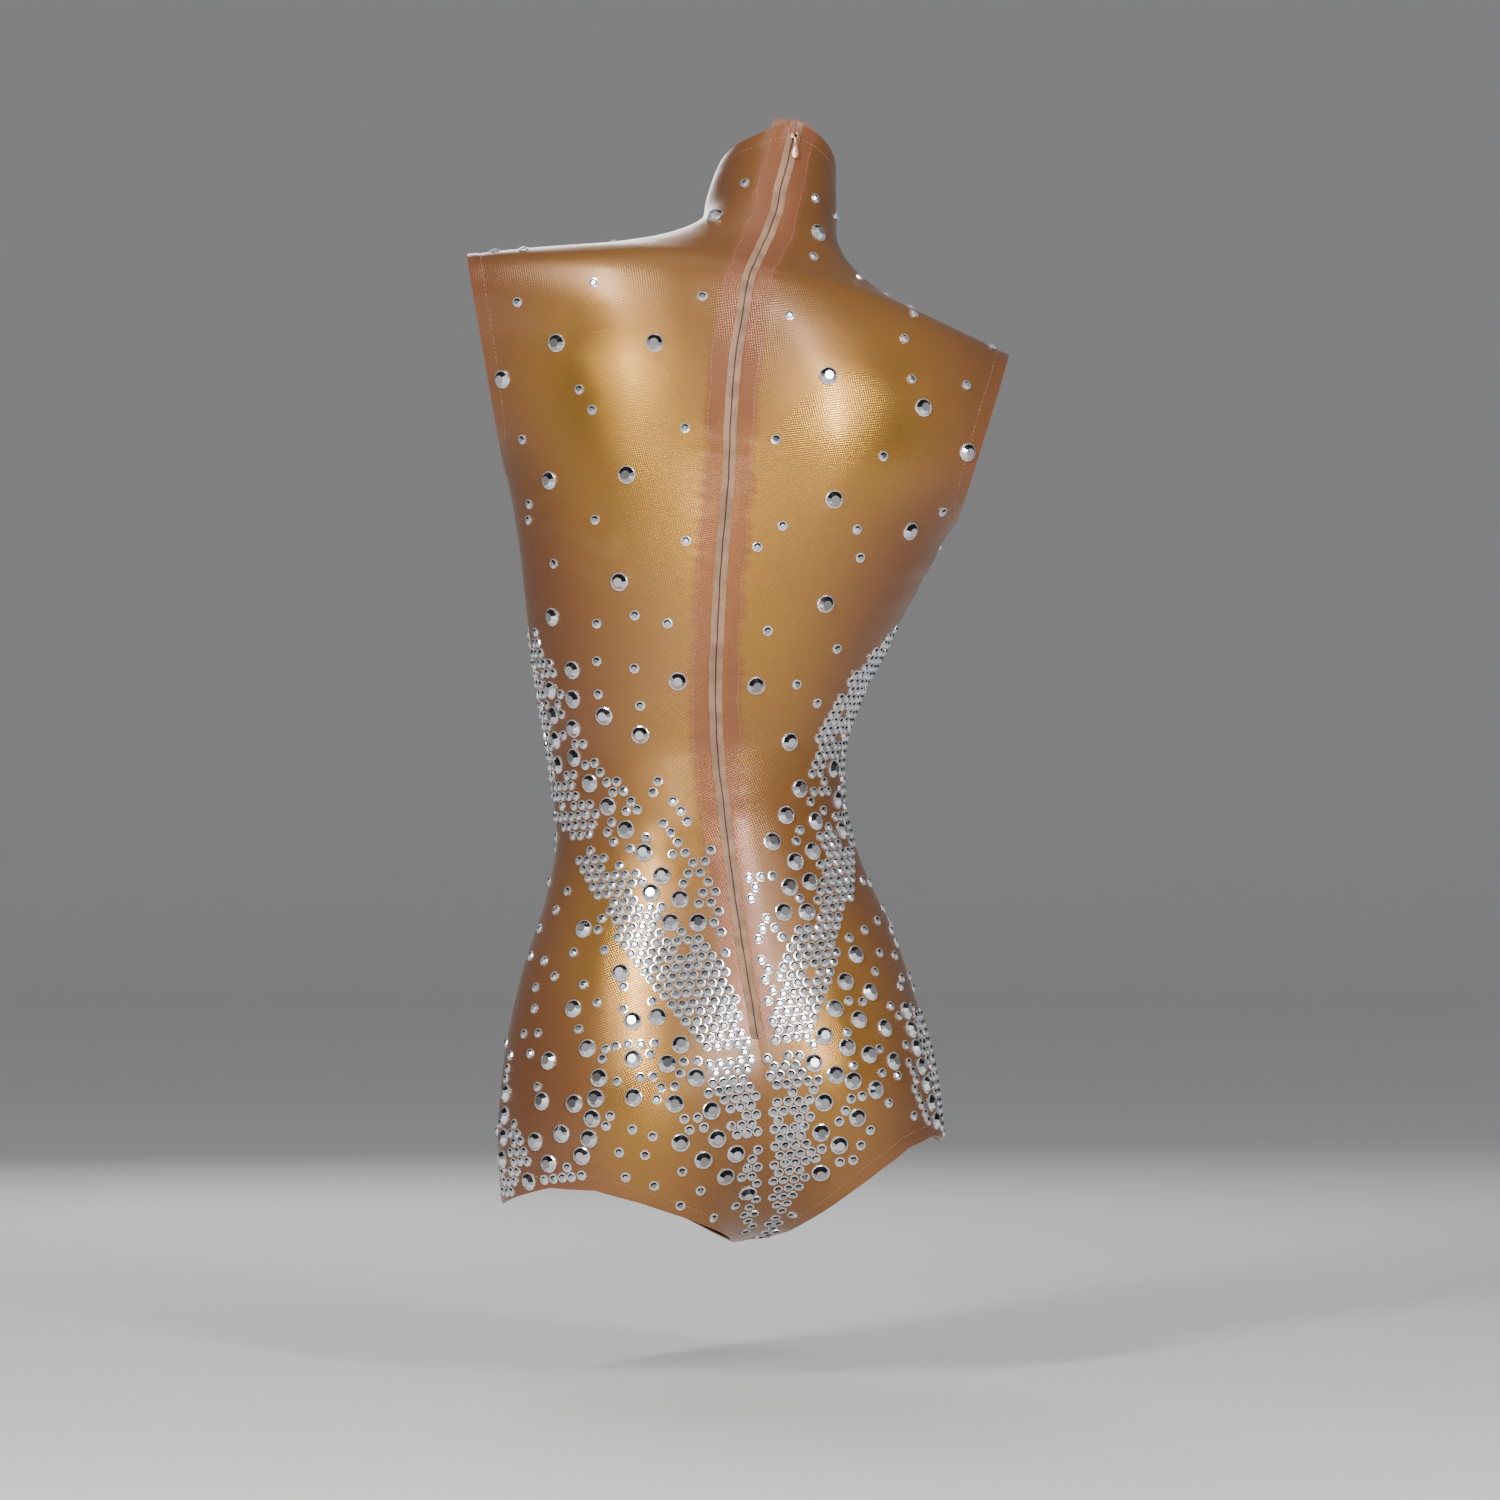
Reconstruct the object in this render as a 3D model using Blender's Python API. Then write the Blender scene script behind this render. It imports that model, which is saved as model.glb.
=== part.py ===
"""A sleeveless stage leotard in sheer nude stretch mesh, high at the neck and cut like short shorts at the legs.

It is built as it stands when it is worn, hollow, with the neck, the armholes and the legs open. A maker cuts a
front and two backs, sews them at the shoulders, sides and crotch, turns the neck edge in, and sets a zip into the
centre back. The front faces -Y, the wearer's left is +X, +Z is up, and the origin is the middle of the neck's
base, where the wearer's shoulders carry the garment. Lengths are metres unless a name or a table says mm.
"""

import math

import bpy
import numpy as np
from mathutils import Matrix, Vector
from mathutils.geometry import delaunay_2d_cdt

MM = 0.001
QUARTER = math.pi / 2

# The cloth and its seams.
WALL = 1.2 * MM
HEM_FOLD = 0.8 * MM
HEM_DEPTH = 11 * MM
SEAM_GAP = 0.3 * MM
MESH_STEP = 19 * MM
NECK_STEP = 11 * MM
NECK_FOOT = -12 * MM
EDGE_STEP = 13 * MM

# One row for each ring of the body, from just above the collar down to the crotch, in mm and degrees. side and
# depth place the ring's middle, back and front are its depths, tilt lifts the wearer's left, turn swings the
# centre back to the wearer's right, rise lifts the back edge for each mm of depth, full squares the ring where it
# is above 0 and draws it to a lens below 0, skew moves the centre lines sideways, and keel draws the centre lines
# together between the legs, from 1 for not at all to 0 for touching.
RING_COLUMNS = ("height", "side", "depth", "width", "back", "front", "tilt", "turn", "rise", "full", "skew", "keel")
RINGS = (
    (66, -9, -15, 36, 42, 42, 2, 17, 0.71, 0.00, 0, 1),
    (52, -6, -12, 39, 44, 44, 2, 16, 0.70, 0.00, 0, 1),
    (26, -1, -6, 45, 48, 48, 3, 14, 0.66, 0.00, 0, 1),
    (4, 1, 0, 47, 52, 54, 5, 9, 0.62, 0.00, 0, 1),
    (-15, 4, 3, 60, 56, 60, 7, 8, 0.60, -0.05, 0, 1),
    (-27, 9, 5, 85, 62, 64, 8.2, 7, 0.50, -0.12, 0, 1),
    (-38, 16, 7, 127, 72, 68, 8.6, 7, 0.40, -0.20, 0, 1),
    (-46, 21, 8, 179, 82, 72, 8.5, 6.5, 0.32, -0.28, 0, 1),
    (-55, 25, 8, 214, 88, 74, 8.4, 6, 0.27, -0.34, 0, 1),
    (-74, 26, 8, 229, 93, 77, 8.6, 4, 0.20, -0.36, 0, 1),
    (-103, 25, 8, 219, 97, 80, 8.9, 0, 0.10, -0.30, 0, 1),
    (-140, 26, 8, 192, 99, 84, 9.2, -1, 0.04, -0.15, 0, 1),
    (-170, 29, 8, 163, 98, 86, 8.6, 0, 0, 0.00, 0, 1),
    (-217, 34, 7, 144, 95, 86, 5.8, 0.5, 0, 0.08, 0, 1),
    (-271, 42, 5, 128, 89, 84, 2.3, 2.3, 0, 0.10, -2, 1),
    (-324, 49, 2, 112, 82, 82, -1.5, 5.6, 0, 0.10, -3, 1),
    (-364, 51, 0, 103, 77, 80, -4.5, 8, 0, 0.08, -4, 1),
    (-404, 49, 0, 101, 77, 81, -5.8, 9.3, 0, 0.06, -5, 1),
    (-448, 46, 2, 111, 82, 84, -5.6, 9, 0, 0.06, -7, 1),
    (-499, 43, 4, 131, 88, 88, -5.2, 10, 0, 0.08, -9, 1),
    (-548, 41, 6, 145, 92, 90, -5.4, 11.5, 0, 0.10, -11, 1),
    (-593, 38, 7, 154, 93, 91, -6, 12, 0, 0.12, -13, 1),
    (-627, 36, 6, 157, 92, 90, -6.6, 11.8, 0, 0.14, -14, 1),
    (-655, 33, 5, 157, 91, 88, -7.4, 10.5, 0, 0.16, -15, 0.93),
    (-680, 31, 4, 154, 88, 86, -7.4, 10, 0, 0.18, -16, 0.72),
    (-696, 30, 3, 150, 86, 84, -7.4, 10, 0, 0.20, -17, 0.42),
    (-703, 30, 2, 148, 85, 83, -7.4, 10, 0, 0.20, -17, 0),
)
COLLAR_TOP = 52 * MM
COLLAR_DIP = 9 * MM
CROTCH_HALF = 12 * MM
KEEL_WIDTH = 30 * MM

# Soft fullness that the cut gives: the face it lies on (1 back, -1 front), its height, its distance either side
# of the middle, how far it stands out, and how far it spreads across and up, in mm.
FULLNESS = (
    (-1, -222, 76, 34, 44, 46),
    (1, -598, 70, 17, 46, 52),
    (1, -128, 82, 5, 40, 48),
)

# The armhole edges, each a straight cut seen from behind, from its top on the shoulder to its foot under the arm,
# as side and height in mm. The hand is 1 for the wearer's left and -1 for the right.
ARMHOLES = {1: ((211, -13), (189, -140)), -1: ((-169, -75), (-131, -196))}
ARMHOLE_MIDDLE = -105 * MM
ARMHOLE_BELOW = -230 * MM

# The leg edges: ring height in mm at each angle from the centre line, in degrees, behind and in front.
LEG_ANGLES = (0, 5, 12, 22, 33, 45, 60, 75, 90)
LEG_BACK = (-703, -703, -692, -677, -663, -651, -646, -650, -655)
LEG_FRONT = (-703, -703, -688, -668, -652, -642, -640, -648, -655)
CROTCH_ANGLE = math.radians(5)

# The zip in the centre back, and the plain square sewn in beside it.
ZIP_FOOT = -560 * MM
TAPE_WIDTH = 17.5 * MM
TAPE_THICK = 1.0 * MM
TAPE_DEPTH = 1.6 * MM
TAPE_END = 5 * MM
TAPE_ROW = 11 * MM
PATCH_TOP = 29 * MM
PATCH_DEPTH = 1.6 * MM
PATCH_FOOT = 0
PATCH_OFF = 0.5 * MM
PATCH_WIDTH = 15 * MM
PATCH_THICK = 1.0 * MM

# The zip's slider and its pull.
SLIDER_HEIGHT = 45 * MM
SLIDER_WIDTH = 5.6 * MM
SLIDER_LENGTH = 8 * MM
SLIDER_PLATE = 1.4 * MM
SLIDER_LIFT = 0.7 * MM
SLIDER_SWING = math.radians(12)
BRIDGE_WIDTH = 1.2 * MM
BRIDGE_BAR = 0.9 * MM
WINDOW_LONG = 3.0 * MM
WINDOW_TALL = 2.6 * MM
PULL_THICK = 1.3 * MM
PULL_CLEAR = 1.0 * MM
PULL_EYE_WIDTH = 2.2 * MM
PULL_EYE_TOP = 0.65 * MM
PULL_EYE_FOOT = 3.7 * MM

# The pull's half width at each distance below its hinge, in mm: an eye, a thin neck, and a drop.
PULL = ((-0.65, 1.7), (4.4, 1.7), (5.8, 0.9), (8.6, 0.9), (11.6, 1.8), (14.8, 2.6), (17.2, 2.5),
        (18.8, 1.5), (19.4, 0.5))

# Large cut stones, raised in the cloth's outer face. Each row gives the face it is on, and where its middle is
# seen from behind, as side and height in mm.
STONE_WIDTH = 13 * MM
STONE_TABLE = 8.6 * MM
STONE_STAND = 4.4 * MM
STONE_SIDES = 6
STONE_MARGIN = 3 * MM
STONE_APART = 0.4 * MM
STONES = (
    (1, 38, 15), (1, -33, 4), (1, 148, -74), (1, 80, -75), (1, 186, -98), (1, -40, -98), (1, -106, -119),
    (1, -137, -149), (1, 153, -169), (1, 99, -166), (1, -44, -183), (1, -97, -204), (1, 104, -240), (1, -38, -255),
    (1, 151, -264), (1, 64, -309), (1, 10, -312), (1, 90, -346), (1, 115, -333), (1, -13, -351),
    (-1, 40, -8), (-1, -34, -22), (-1, 140, -92), (-1, 70, -88), (-1, -6, -70), (-1, -70, -108), (-1, -118, -140),
    (-1, 168, -140), (-1, 108, -166), (-1, 34, -150), (-1, -36, -176), (-1, -92, -210), (-1, 142, -226),
    (-1, 66, -232), (-1, -8, -240), (-1, 108, -292), (-1, 30, -300), (-1, -46, -282), (-1, 68, -352),
    (-1, -4, -362),
)

# Stones that follow one another in a line. Each row gives the face, the places of the first and the last stone
# seen from behind, in mm, and how many there are.
STONE_LINES = (
    (1, 137, -301, 136, -362, 4),
    (1, 152, -315, 147, -367, 4),
    (1, 125, -380, 50, -477, 7),
    (1, 96, -436, 69, -477, 3),
    (1, 129, -482, 78, -542, 3),
    (1, 136, -537, 126, -564, 2),
    (1, 95, -545, 94, -597, 3),
    (1, 71, -574, 66, -601, 2),
    (1, 62, -561, 41, -606, 3),
    (1, 50, -615, 24, -636, 3),
    (1, 62, -628, 16, -664, 4),
    (1, 118, -584, 125, -626, 4),
    (1, 130, -638, 151, -663, 4),
    (1, 162, -667, 178, -675, 3),
    (1, 183, -597, 186, -658, 5),
    (1, 153, -573, 167, -657, 4),
    (1, 135, -602, 153, -644, 3),
    (1, -20, -384, -1, -421, 3),
    (1, -17, -435, -9, -470, 3),
    (1, -31, -407, -25, -470, 4),
    (1, -43, -370, -49, -414, 3),
    (1, -59, -500, -30, -574, 5),
    (1, -69, -526, -37, -601, 5),
    (1, -79, -551, -35, -622, 5),
    (1, -85, -574, -35, -650, 5),
    (1, -94, -540, -115, -617, 7),
)


def flowing(at, known, values):
    """A curve through the table's rows that never swings past them, read at any place between them."""
    gap = np.diff(known)
    slope = np.diff(values) / gap
    tangent = np.zeros(len(known))
    same = slope[:-1] * slope[1:] > 0
    lean_one = 2 * gap[1:] + gap[:-1]
    lean_two = gap[1:] + 2 * gap[:-1]
    with np.errstate(divide="ignore", invalid="ignore"):
        mean = (lean_one + lean_two) / (lean_one / slope[:-1] + lean_two / slope[1:])
    tangent[1:-1] = np.where(same, mean, 0)
    tangent[0], tangent[-1] = slope[0], slope[-1]
    k = np.clip(np.searchsorted(known, at, side="right") - 1, 0, len(gap) - 1)
    s = (at - known[k]) / gap[k]
    return (
        values[k] * (1 + 2 * s) * (1 - s) ** 2
        + values[k + 1] * s * s * (3 - 2 * s)
        + gap[k] * s * (1 - s) * (tangent[k] * (1 - s) - tangent[k + 1] * s)
    )


def eased(share):
    """0 to 1 with a soft start and end."""
    share = np.clip(share, 0, 1)
    return share * share * (3 - 2 * share)


class Form:
    """The worn shape as a surface of two parameters: an angle round the body, 0 at the centre back and growing
    towards the wearer's left, and a run down the body in metres, which starts a little above the collar."""

    SAMPLES = 600
    SPOKES = 265
    BLUR = 9 * MM

    def __init__(self):
        rows = np.array(RINGS, float)
        rows[:, [0, 1, 2, 3, 4, 5, 10]] *= MM
        rows[:, [6, 7]] = np.radians(rows[:, [6, 7]])
        height, side, depth, width, back = rows[:, :5].T
        tilt, rise, keel = rows[:, 6], rows[:, 8], rows[:, 11]
        left = np.stack([side + width * np.cos(tilt), depth, height + width * np.sin(tilt)], 1)
        spine = np.stack([side, depth + back * keel, height + back * rise * keel], 1)
        steps = [np.linalg.norm(np.diff(line, axis=0), axis=1) for line in (left, spine)]
        runs = np.concatenate([[0], np.cumsum((steps[0] + steps[1]) / 2)])
        self.length = runs[-1]
        self.run = np.linspace(0, self.length, self.SAMPLES)
        reach = max(1, round(self.BLUR / self.length * self.SAMPLES))
        weights = np.hanning(2 * reach + 3)[1:-1]
        weights /= weights.sum()
        self.columns = []
        for name, values in zip(RING_COLUMNS, rows.T):
            curve = flowing(self.run, runs, values)
            if name != "keel":
                ends = 2 * curve[0] - curve[reach:0:-1], 2 * curve[-1] - curve[-2 : -reach - 2 : -1]
                curve = np.convolve(np.concatenate([ends[0], curve, ends[1]]), weights, "valid")
            self.columns.append(curve)
        self.angles = np.linspace(-1.2 * QUARTER, 3.2 * QUARTER, self.SPOKES)
        self.rings = self.at(self.angles[None, :], self.run[:, None])
        steps = np.linalg.norm(np.diff(self.rings, axis=1), axis=2)
        self.arcs = np.concatenate([np.zeros((self.SAMPLES, 1)), np.cumsum(steps, axis=1)], axis=1)

    def at(self, angle, run):
        """Points (..., 3): a ring of half width and depth times sine and cosine, turned, tilted and set in place."""
        angle, run = np.broadcast_arrays(np.asarray(angle, float), np.asarray(run, float))
        run = np.clip(run, 0, self.length)
        height, side, depth, width, back, front, tilt, turn, rise, full, skew, keel = (
            np.interp(run, self.run, column) for column in self.columns
        )
        sine, cosine = np.sin(angle), np.cos(angle)
        across = width * sine + skew * cosine**2
        beside = np.clip(np.abs(across - skew) - CROTCH_HALF, 0, None) / KEEL_WIDTH
        pinch = 1 - (1 - keel) * np.exp(-(beside**2))
        out = np.where(cosine > 0, back, front) * cosine * (1 + full * sine**2) * pinch
        for face, level, apart, stand, wide, tall in FULLNESS:
            for hand in (1, -1):
                off_across = ((across - skew) / MM - hand * apart) / wide
                off_up = (height / MM - level) / tall
                swell = np.exp(-(off_across**2 + off_up**2) / 2) * eased(face * cosine * 2.5) * keel
                out = out + face * stand * MM * swell
        swung = across * np.cos(turn) - out * np.sin(turn)
        fore = across * np.sin(turn) + out * np.cos(turn)
        return np.stack(
            [side + swung * np.cos(tilt), depth + fore, height + swung * np.sin(tilt) + rise * fore], axis=-1
        )

    def normal(self, angle, run):
        """The unit normal that points out of the body, from central differences."""
        angle, run = np.broadcast_arrays(np.asarray(angle, float), np.asarray(run, float))
        near = 0.004
        below, above = (np.clip(run + off, 0, self.length) for off in (near, -near))
        down = self.at(angle, below) - self.at(angle, above)
        around = self.at(angle + near, run) - self.at(angle - near, run)
        normal = np.cross(around, down)
        return normal / np.linalg.norm(normal, axis=-1, keepdims=True)

    def run_at(self, height):
        """The run of the ring of that height."""
        return np.interp(-np.asarray(height, float), -self.columns[0], self.run)

    def arc(self, angle, run):
        """How far round the cloth that angle lies, from the first spoke."""
        angle, run = np.broadcast_arrays(np.asarray(angle, float), np.asarray(run, float))
        row = np.clip(run / self.length * (self.SAMPLES - 1), 0, self.SAMPLES - 1.001)
        column = (angle - self.angles[0]) / (self.angles[1] - self.angles[0])
        i, j = row.astype(int), column.astype(int)
        p, q = row - i, column - j
        above = self.arcs[i, j] * (1 - q) + self.arcs[i, j + 1] * q
        below = self.arcs[i + 1, j] * (1 - q) + self.arcs[i + 1, j + 1] * q
        return above * (1 - p) + below * p

    def angle(self, arc, run):
        """The angle that lies that far round the cloth."""
        rows = np.clip(np.asarray(run) / self.length * (self.SAMPLES - 1), 0, self.SAMPLES - 1.001)
        found = []
        for far, row in zip(arc, rows):
            i = int(row)
            ring = self.arcs[i] * (i + 1 - row) + self.arcs[i + 1] * (row - i)
            found.append(np.interp(far, ring, self.angles))
        return np.array(found)

    def flat(self, angle, run, middle):
        """Where a point lies on the laid out cloth: across from the middle line, and down as a negative number."""
        angle, run = np.broadcast_arrays(np.asarray(angle, float), np.asarray(run, float))
        return np.stack([self.arc(angle, run) - self.arc(middle, run), -run], -1)

    def worn(self, flat, middle):
        """Angle and run of a point of the laid out cloth."""
        run = -flat[:, 1]
        return self.angle(flat[:, 0] + self.arc(middle, run), run), run

    def seen_at(self, side, height, face):
        """Angle and run of the point that is seen there from behind, on the back (1) or the front (-1)."""
        faces = np.cos(self.angles) * face > 0
        far = np.hypot(self.rings[:, faces, 0] - side, self.rings[:, faces, 2] - height)
        i, j = np.unravel_index(np.argmin(far), far.shape)
        angle, run = self.angles[faces][j], self.run[i]
        small = 0.002
        for _ in range(3):
            here, right, down = self.at([angle, angle + small, angle], [run, run, run + small])[:, [0, 2]]
            along = np.stack([right - here, down - here], 1) / small
            step = np.linalg.lstsq(along, np.array([side, height]) - here, rcond=None)[0]
            angle, run = angle + np.clip(step[0], -0.05, 0.05), run + np.clip(step[1], -0.01, 0.01)
        return angle, run


FORM = Form()
COLLAR_RUN = FORM.run_at(COLLAR_TOP)


def collar_edge(angle):
    """The run of the collar's top edge, which dips on the wearer's left."""
    behind = eased(np.clip(angle, 0, None) / (QUARTER / 2))
    before = np.cos((angle - QUARTER) / 2) ** 2
    return COLLAR_RUN + COLLAR_DIP * np.where(angle > QUARTER, before, behind)


def beyond_armhole(angle, run, hand):
    """How far a point lies outside the straight cut of that armhole."""
    (top_side, top_height), (foot_side, foot_height) = (np.array(end) * MM for end in ARMHOLES[hand])
    point = FORM.at(angle, run)
    fall, lean = top_height - foot_height, top_side - foot_side
    away = (point[..., 0] - foot_side) * fall - (point[..., 2] - foot_height) * lean
    return hand * away / math.hypot(fall, lean)


def crossing(test, low, high):
    """Where the test turns positive between low and high, by halving."""
    for _ in range(40):
        middle = (low + high) / 2
        outside = test(middle) > 0
        low, high = np.where(outside, low, middle), np.where(outside, middle, high)
    return (low + high) / 2


def paced(angle, run, step):
    """The same line in steps of equal length on the worn cloth."""
    points = FORM.at(angle, run)
    far = np.concatenate([[0], np.cumsum(np.linalg.norm(np.diff(points, axis=0), axis=1))])
    places = np.linspace(0, far[-1], max(2, math.ceil(far[-1] / step) + 1))
    return np.stack([np.interp(places, far, angle), np.interp(places, far, run)], 1)


def seam(angle, first, last):
    """A seam straight down the body, at one angle."""
    return paced(np.full(120, float(angle)), np.linspace(first, last, 120), EDGE_STEP)


ARMHOLE_RUNS = {
    hand: (
        crossing(lambda run: beyond_armhole(hand * QUARTER, run, hand), COLLAR_RUN, FORM.run_at(ARMHOLE_MIDDLE)),
        crossing(
            lambda run: -beyond_armhole(hand * QUARTER, run, hand),
            FORM.run_at(ARMHOLE_MIDDLE),
            FORM.run_at(ARMHOLE_BELOW),
        ),
    )
    for hand in (1, -1)
}
HEM_RUN = FORM.run_at(LEG_BACK[-1] * MM)
CENTRE_SEAM = seam(0, COLLAR_RUN, FORM.length)
SHOULDER_SEAMS = {h: seam(h * QUARTER, collar_edge(h * QUARTER), ARMHOLE_RUNS[h][0]) for h in (1, -1)}
SIDE_SEAMS = {h: seam(h * QUARTER, ARMHOLE_RUNS[h][1], HEM_RUN) for h in (1, -1)}


def armhole(hand, face):
    """The armhole edge from the shoulder to the underarm, on the back or the front, as angle from the back."""
    top, foot = ARMHOLE_RUNS[hand]
    share = (1 - np.cos(np.linspace(0, math.pi, 160))) / 2
    runs = top + (foot - top) * share

    def over(angle):
        return beyond_armhole(hand * angle if face > 0 else hand * (2 * QUARTER - angle), runs, hand)

    inner = crossing(over, np.full(160, 0.2), np.full(160, QUARTER))
    inner[0] = inner[-1] = QUARTER
    around = hand * inner if face > 0 else hand * (2 * QUARTER - inner)
    return paced(around, runs, EDGE_STEP)


def leg_edge(hand, face):
    """The leg edge from the side seam to the crotch, as angle from that face's middle times the hand."""
    from_middle = np.linspace(QUARTER, CROTCH_ANGLE, 120)
    heights = LEG_BACK if face > 0 else LEG_FRONT
    runs = FORM.run_at(np.interp(np.degrees(from_middle), LEG_ANGLES, heights) * MM)
    around = hand * from_middle if face > 0 else hand * (2 * QUARTER - from_middle)
    return paced(around, runs, EDGE_STEP)


def moved(line, middle, across):
    """A line of angle and run, moved across the laid out cloth."""
    flat = FORM.flat(line[:, 0], line[:, 1], middle)
    flat[:, 0] += across
    return flat


def joined(*lines):
    """One closed loop from lines that meet end to end; each line gives up its last point to the next."""
    return np.concatenate([line[:-1] for line in lines])


def back_loop(hand):
    """The outline of one back on the laid out cloth: collar, shoulder, armhole, side, leg, crotch and zip."""
    half_gap = SEAM_GAP / 2
    angles = np.linspace(0, hand * QUARTER, 60)
    collar = moved(paced(angles, collar_edge(angles), EDGE_STEP), 0, 0)
    shoulder = moved(SHOULDER_SEAMS[hand], 0, -hand * half_gap)
    arm = moved(armhole(hand, 1), 0, 0)
    side = moved(SIDE_SEAMS[hand], 0, -hand * half_gap)
    leg = moved(leg_edge(hand, 1), 0, 0)
    crotch = moved(np.array([(hand * CROTCH_ANGLE, FORM.length), (0, FORM.length)]), 0, 0)
    centre = moved(CENTRE_SEAM[::-1], 0, hand * half_gap)
    crotch[-1] = centre[0]
    loop = joined(collar, shoulder, arm, side, leg, crotch, centre)
    loop[0] = centre[-1]
    return loop


def front_loop():
    """The outline of the front on the laid out cloth, from the wearer's left shoulder round to the right."""
    middle, half_gap = 2 * QUARTER, SEAM_GAP / 2
    angles = np.linspace(QUARTER, 3 * QUARTER, 120)
    collar = moved(paced(angles, collar_edge(angles), EDGE_STEP), middle, 0)
    lines = [collar]
    for hand, order in ((-1, 1), (1, -1)):
        turn = np.array([2 * math.pi if hand < 0 else 0, 0])
        lifted = [line + turn for line in (SHOULDER_SEAMS[hand], SIDE_SEAMS[hand])]
        around = [armhole(hand, -1), leg_edge(hand, -1)]
        around = [line + turn if line[0, 0] < 0 else line for line in around]
        inward = hand * half_gap
        parts = [
            moved(lifted[0], middle, inward),
            moved(around[0], middle, 0),
            moved(lifted[1], middle, inward),
            moved(around[1], middle, 0),
        ]
        lines += parts if order > 0 else [part[::-1] for part in parts[::-1]]
        if order > 0:
            ends = np.array([(2 * QUARTER + CROTCH_ANGLE, FORM.length), (2 * QUARTER - CROTCH_ANGLE, FORM.length)])
            lines.append(moved(paced(ends[:, 0], ends[:, 1], EDGE_STEP), middle, 0))
    return joined(*lines)


def inside(points, loop):
    """Which points lie inside a closed loop."""
    start, end = loop, np.roll(loop, -1, axis=0)
    x, y = points[:, None, 0], points[:, None, 1]
    spans = (start[None, :, 1] > y) != (end[None, :, 1] > y)
    rise = np.where(end[:, 1] == start[:, 1], 1e-12, end[:, 1] - start[:, 1])
    meets = start[None, :, 0] + (y - start[None, :, 1]) / rise * (end[:, 0] - start[:, 0])
    return (spans & (x < meets)).sum(1) % 2 == 1


def distance(points, loop):
    """How far each point lies from a closed loop."""
    start, end = loop, np.roll(loop, -1, axis=0)
    along = end - start
    share = ((points[:, None] - start) * along).sum(2) / np.maximum((along**2).sum(1), 1e-12)
    nearest = start + np.clip(share, 0, 1)[..., None] * along
    return np.linalg.norm(points[:, None] - nearest, axis=2).min(1)


def grid(loop, step):
    """Staggered points inside the loop, one step apart, kept well off its edge."""
    low, high = loop.min(0), loop.max(0)
    rows = np.arange(low[1], high[1], step * math.sin(math.radians(60)))
    columns = np.arange(low[0], high[0], step)
    x, y = np.meshgrid(columns, rows)
    x[::2] += step / 2
    points = np.stack([x.ravel(), y.ravel()], 1)
    points = points[inside(points, loop)]
    return points[distance(points, loop) > 0.5 * step]


def inner_points(loop):
    """The points of a panel inside its edge, closer together round the neck."""
    neck_run = FORM.run_at(NECK_FOOT)
    close, wide = grid(loop, NECK_STEP), grid(loop, MESH_STEP)
    return np.concatenate([close[close[:, 1] > -neck_run], wide[wide[:, 1] < -neck_run - NECK_STEP]])


def triangulate(points, edges, loop):
    """Triangles over the points that keep the given edges, inside the loop, each facing out of the body."""
    found = delaunay_2d_cdt([tuple(p / MM) for p in points], edges, [], 0, 1e-6, True)
    corners = found[3]
    if len(found[0]) != len(points):
        raise ValueError("an edge of the laid out cloth crosses another")
    triangles = np.array([[corners[v][0] for v in face[::-1]] for face in found[2]])
    return triangles[inside(points[triangles].mean(1), loop)]


def ring_edges(first, count):
    """The edges of a closed ring of points."""
    return [(first + k, first + (k + 1) % count) for k in range(count)]


def wall(name, low, high, low_faces, high_faces, colour):
    """One closed piece from an inner and an outer sheet whose first points are the rim they share."""
    once = {}
    for a, b, c in high_faces:
        for edge in ((a, b), (b, c), (c, a)):
            once[edge] = True
    rim = [edge for edge in once if edge[::-1] not in once]
    shift = len(low)
    faces = [tuple(face[::-1]) for face in low_faces.tolist()]
    faces += [tuple(v + shift for v in face) for face in high_faces.tolist()]
    for a, b in rim:
        faces += [(b + shift, a + shift, a), (b + shift, a, b)]
    return solid(name, np.concatenate([low, high]), faces, colour)


def solid(name, points, faces, colour):
    """A named object with its own plain material."""
    mesh = bpy.data.meshes.new(name)
    mesh.from_pydata([tuple(p) for p in points], [], faces)
    mesh.update()
    material = bpy.data.materials.new(name)
    material.use_nodes = True
    shader = material.node_tree.nodes["Principled BSDF"]
    shader.inputs["Base Color"].default_value = (*colour, 1)
    shader.inputs["Roughness"].default_value = ROUGHNESS
    mesh.materials.append(material)
    thing = bpy.data.objects.new(name, mesh)
    bpy.context.scene.collection.objects.link(thing)
    return thing


MESH_COLOUR = (0.44, 0.22, 0.09)
TAPE_COLOUR = (0.36, 0.15, 0.09)
PULL_COLOUR = (0.62, 0.33, 0.22)
ROUGHNESS = 0.45

for old in list(bpy.data.objects):
    bpy.data.objects.remove(old, do_unlink=True)


def stone_rings(stone, middle):
    """The foot and the table of one stone on the laid out cloth, round once the cloth is worn."""
    flat = FORM.flat(*stone, middle)
    small = 0.5 * MM
    near = np.array([flat, flat + (small, 0), flat + (0, small)])
    here, right, up = FORM.at(*FORM.worn(near, middle))
    slopes = np.stack([(right - here) / small, (up - here) / small], 1)
    one = slopes[:, 0] / np.linalg.norm(slopes[:, 0])
    two = slopes[:, 1] - one * (slopes[:, 1] @ one)
    two /= np.linalg.norm(two)
    turns = np.arange(STONE_SIDES) * 2 * math.pi / STONE_SIDES
    rings = []
    for width in (STONE_WIDTH, STONE_TABLE):
        spokes = (np.cos(turns)[:, None] * one + np.sin(turns)[:, None] * two) * width / 2
        rings.append(flat + spokes @ np.linalg.pinv(slopes).T)
    return rings


def stone_places(face):
    """Side and height in mm of every large stone on that face, the single ones first."""
    single = [row[1:] for row in STONES if row[0] == face]
    lines = [np.linspace(row[1:3], row[3:5], row[5]) for row in STONE_LINES if row[0] == face]
    return np.concatenate([np.array(single, float).reshape(-1, 2), *lines])


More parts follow.
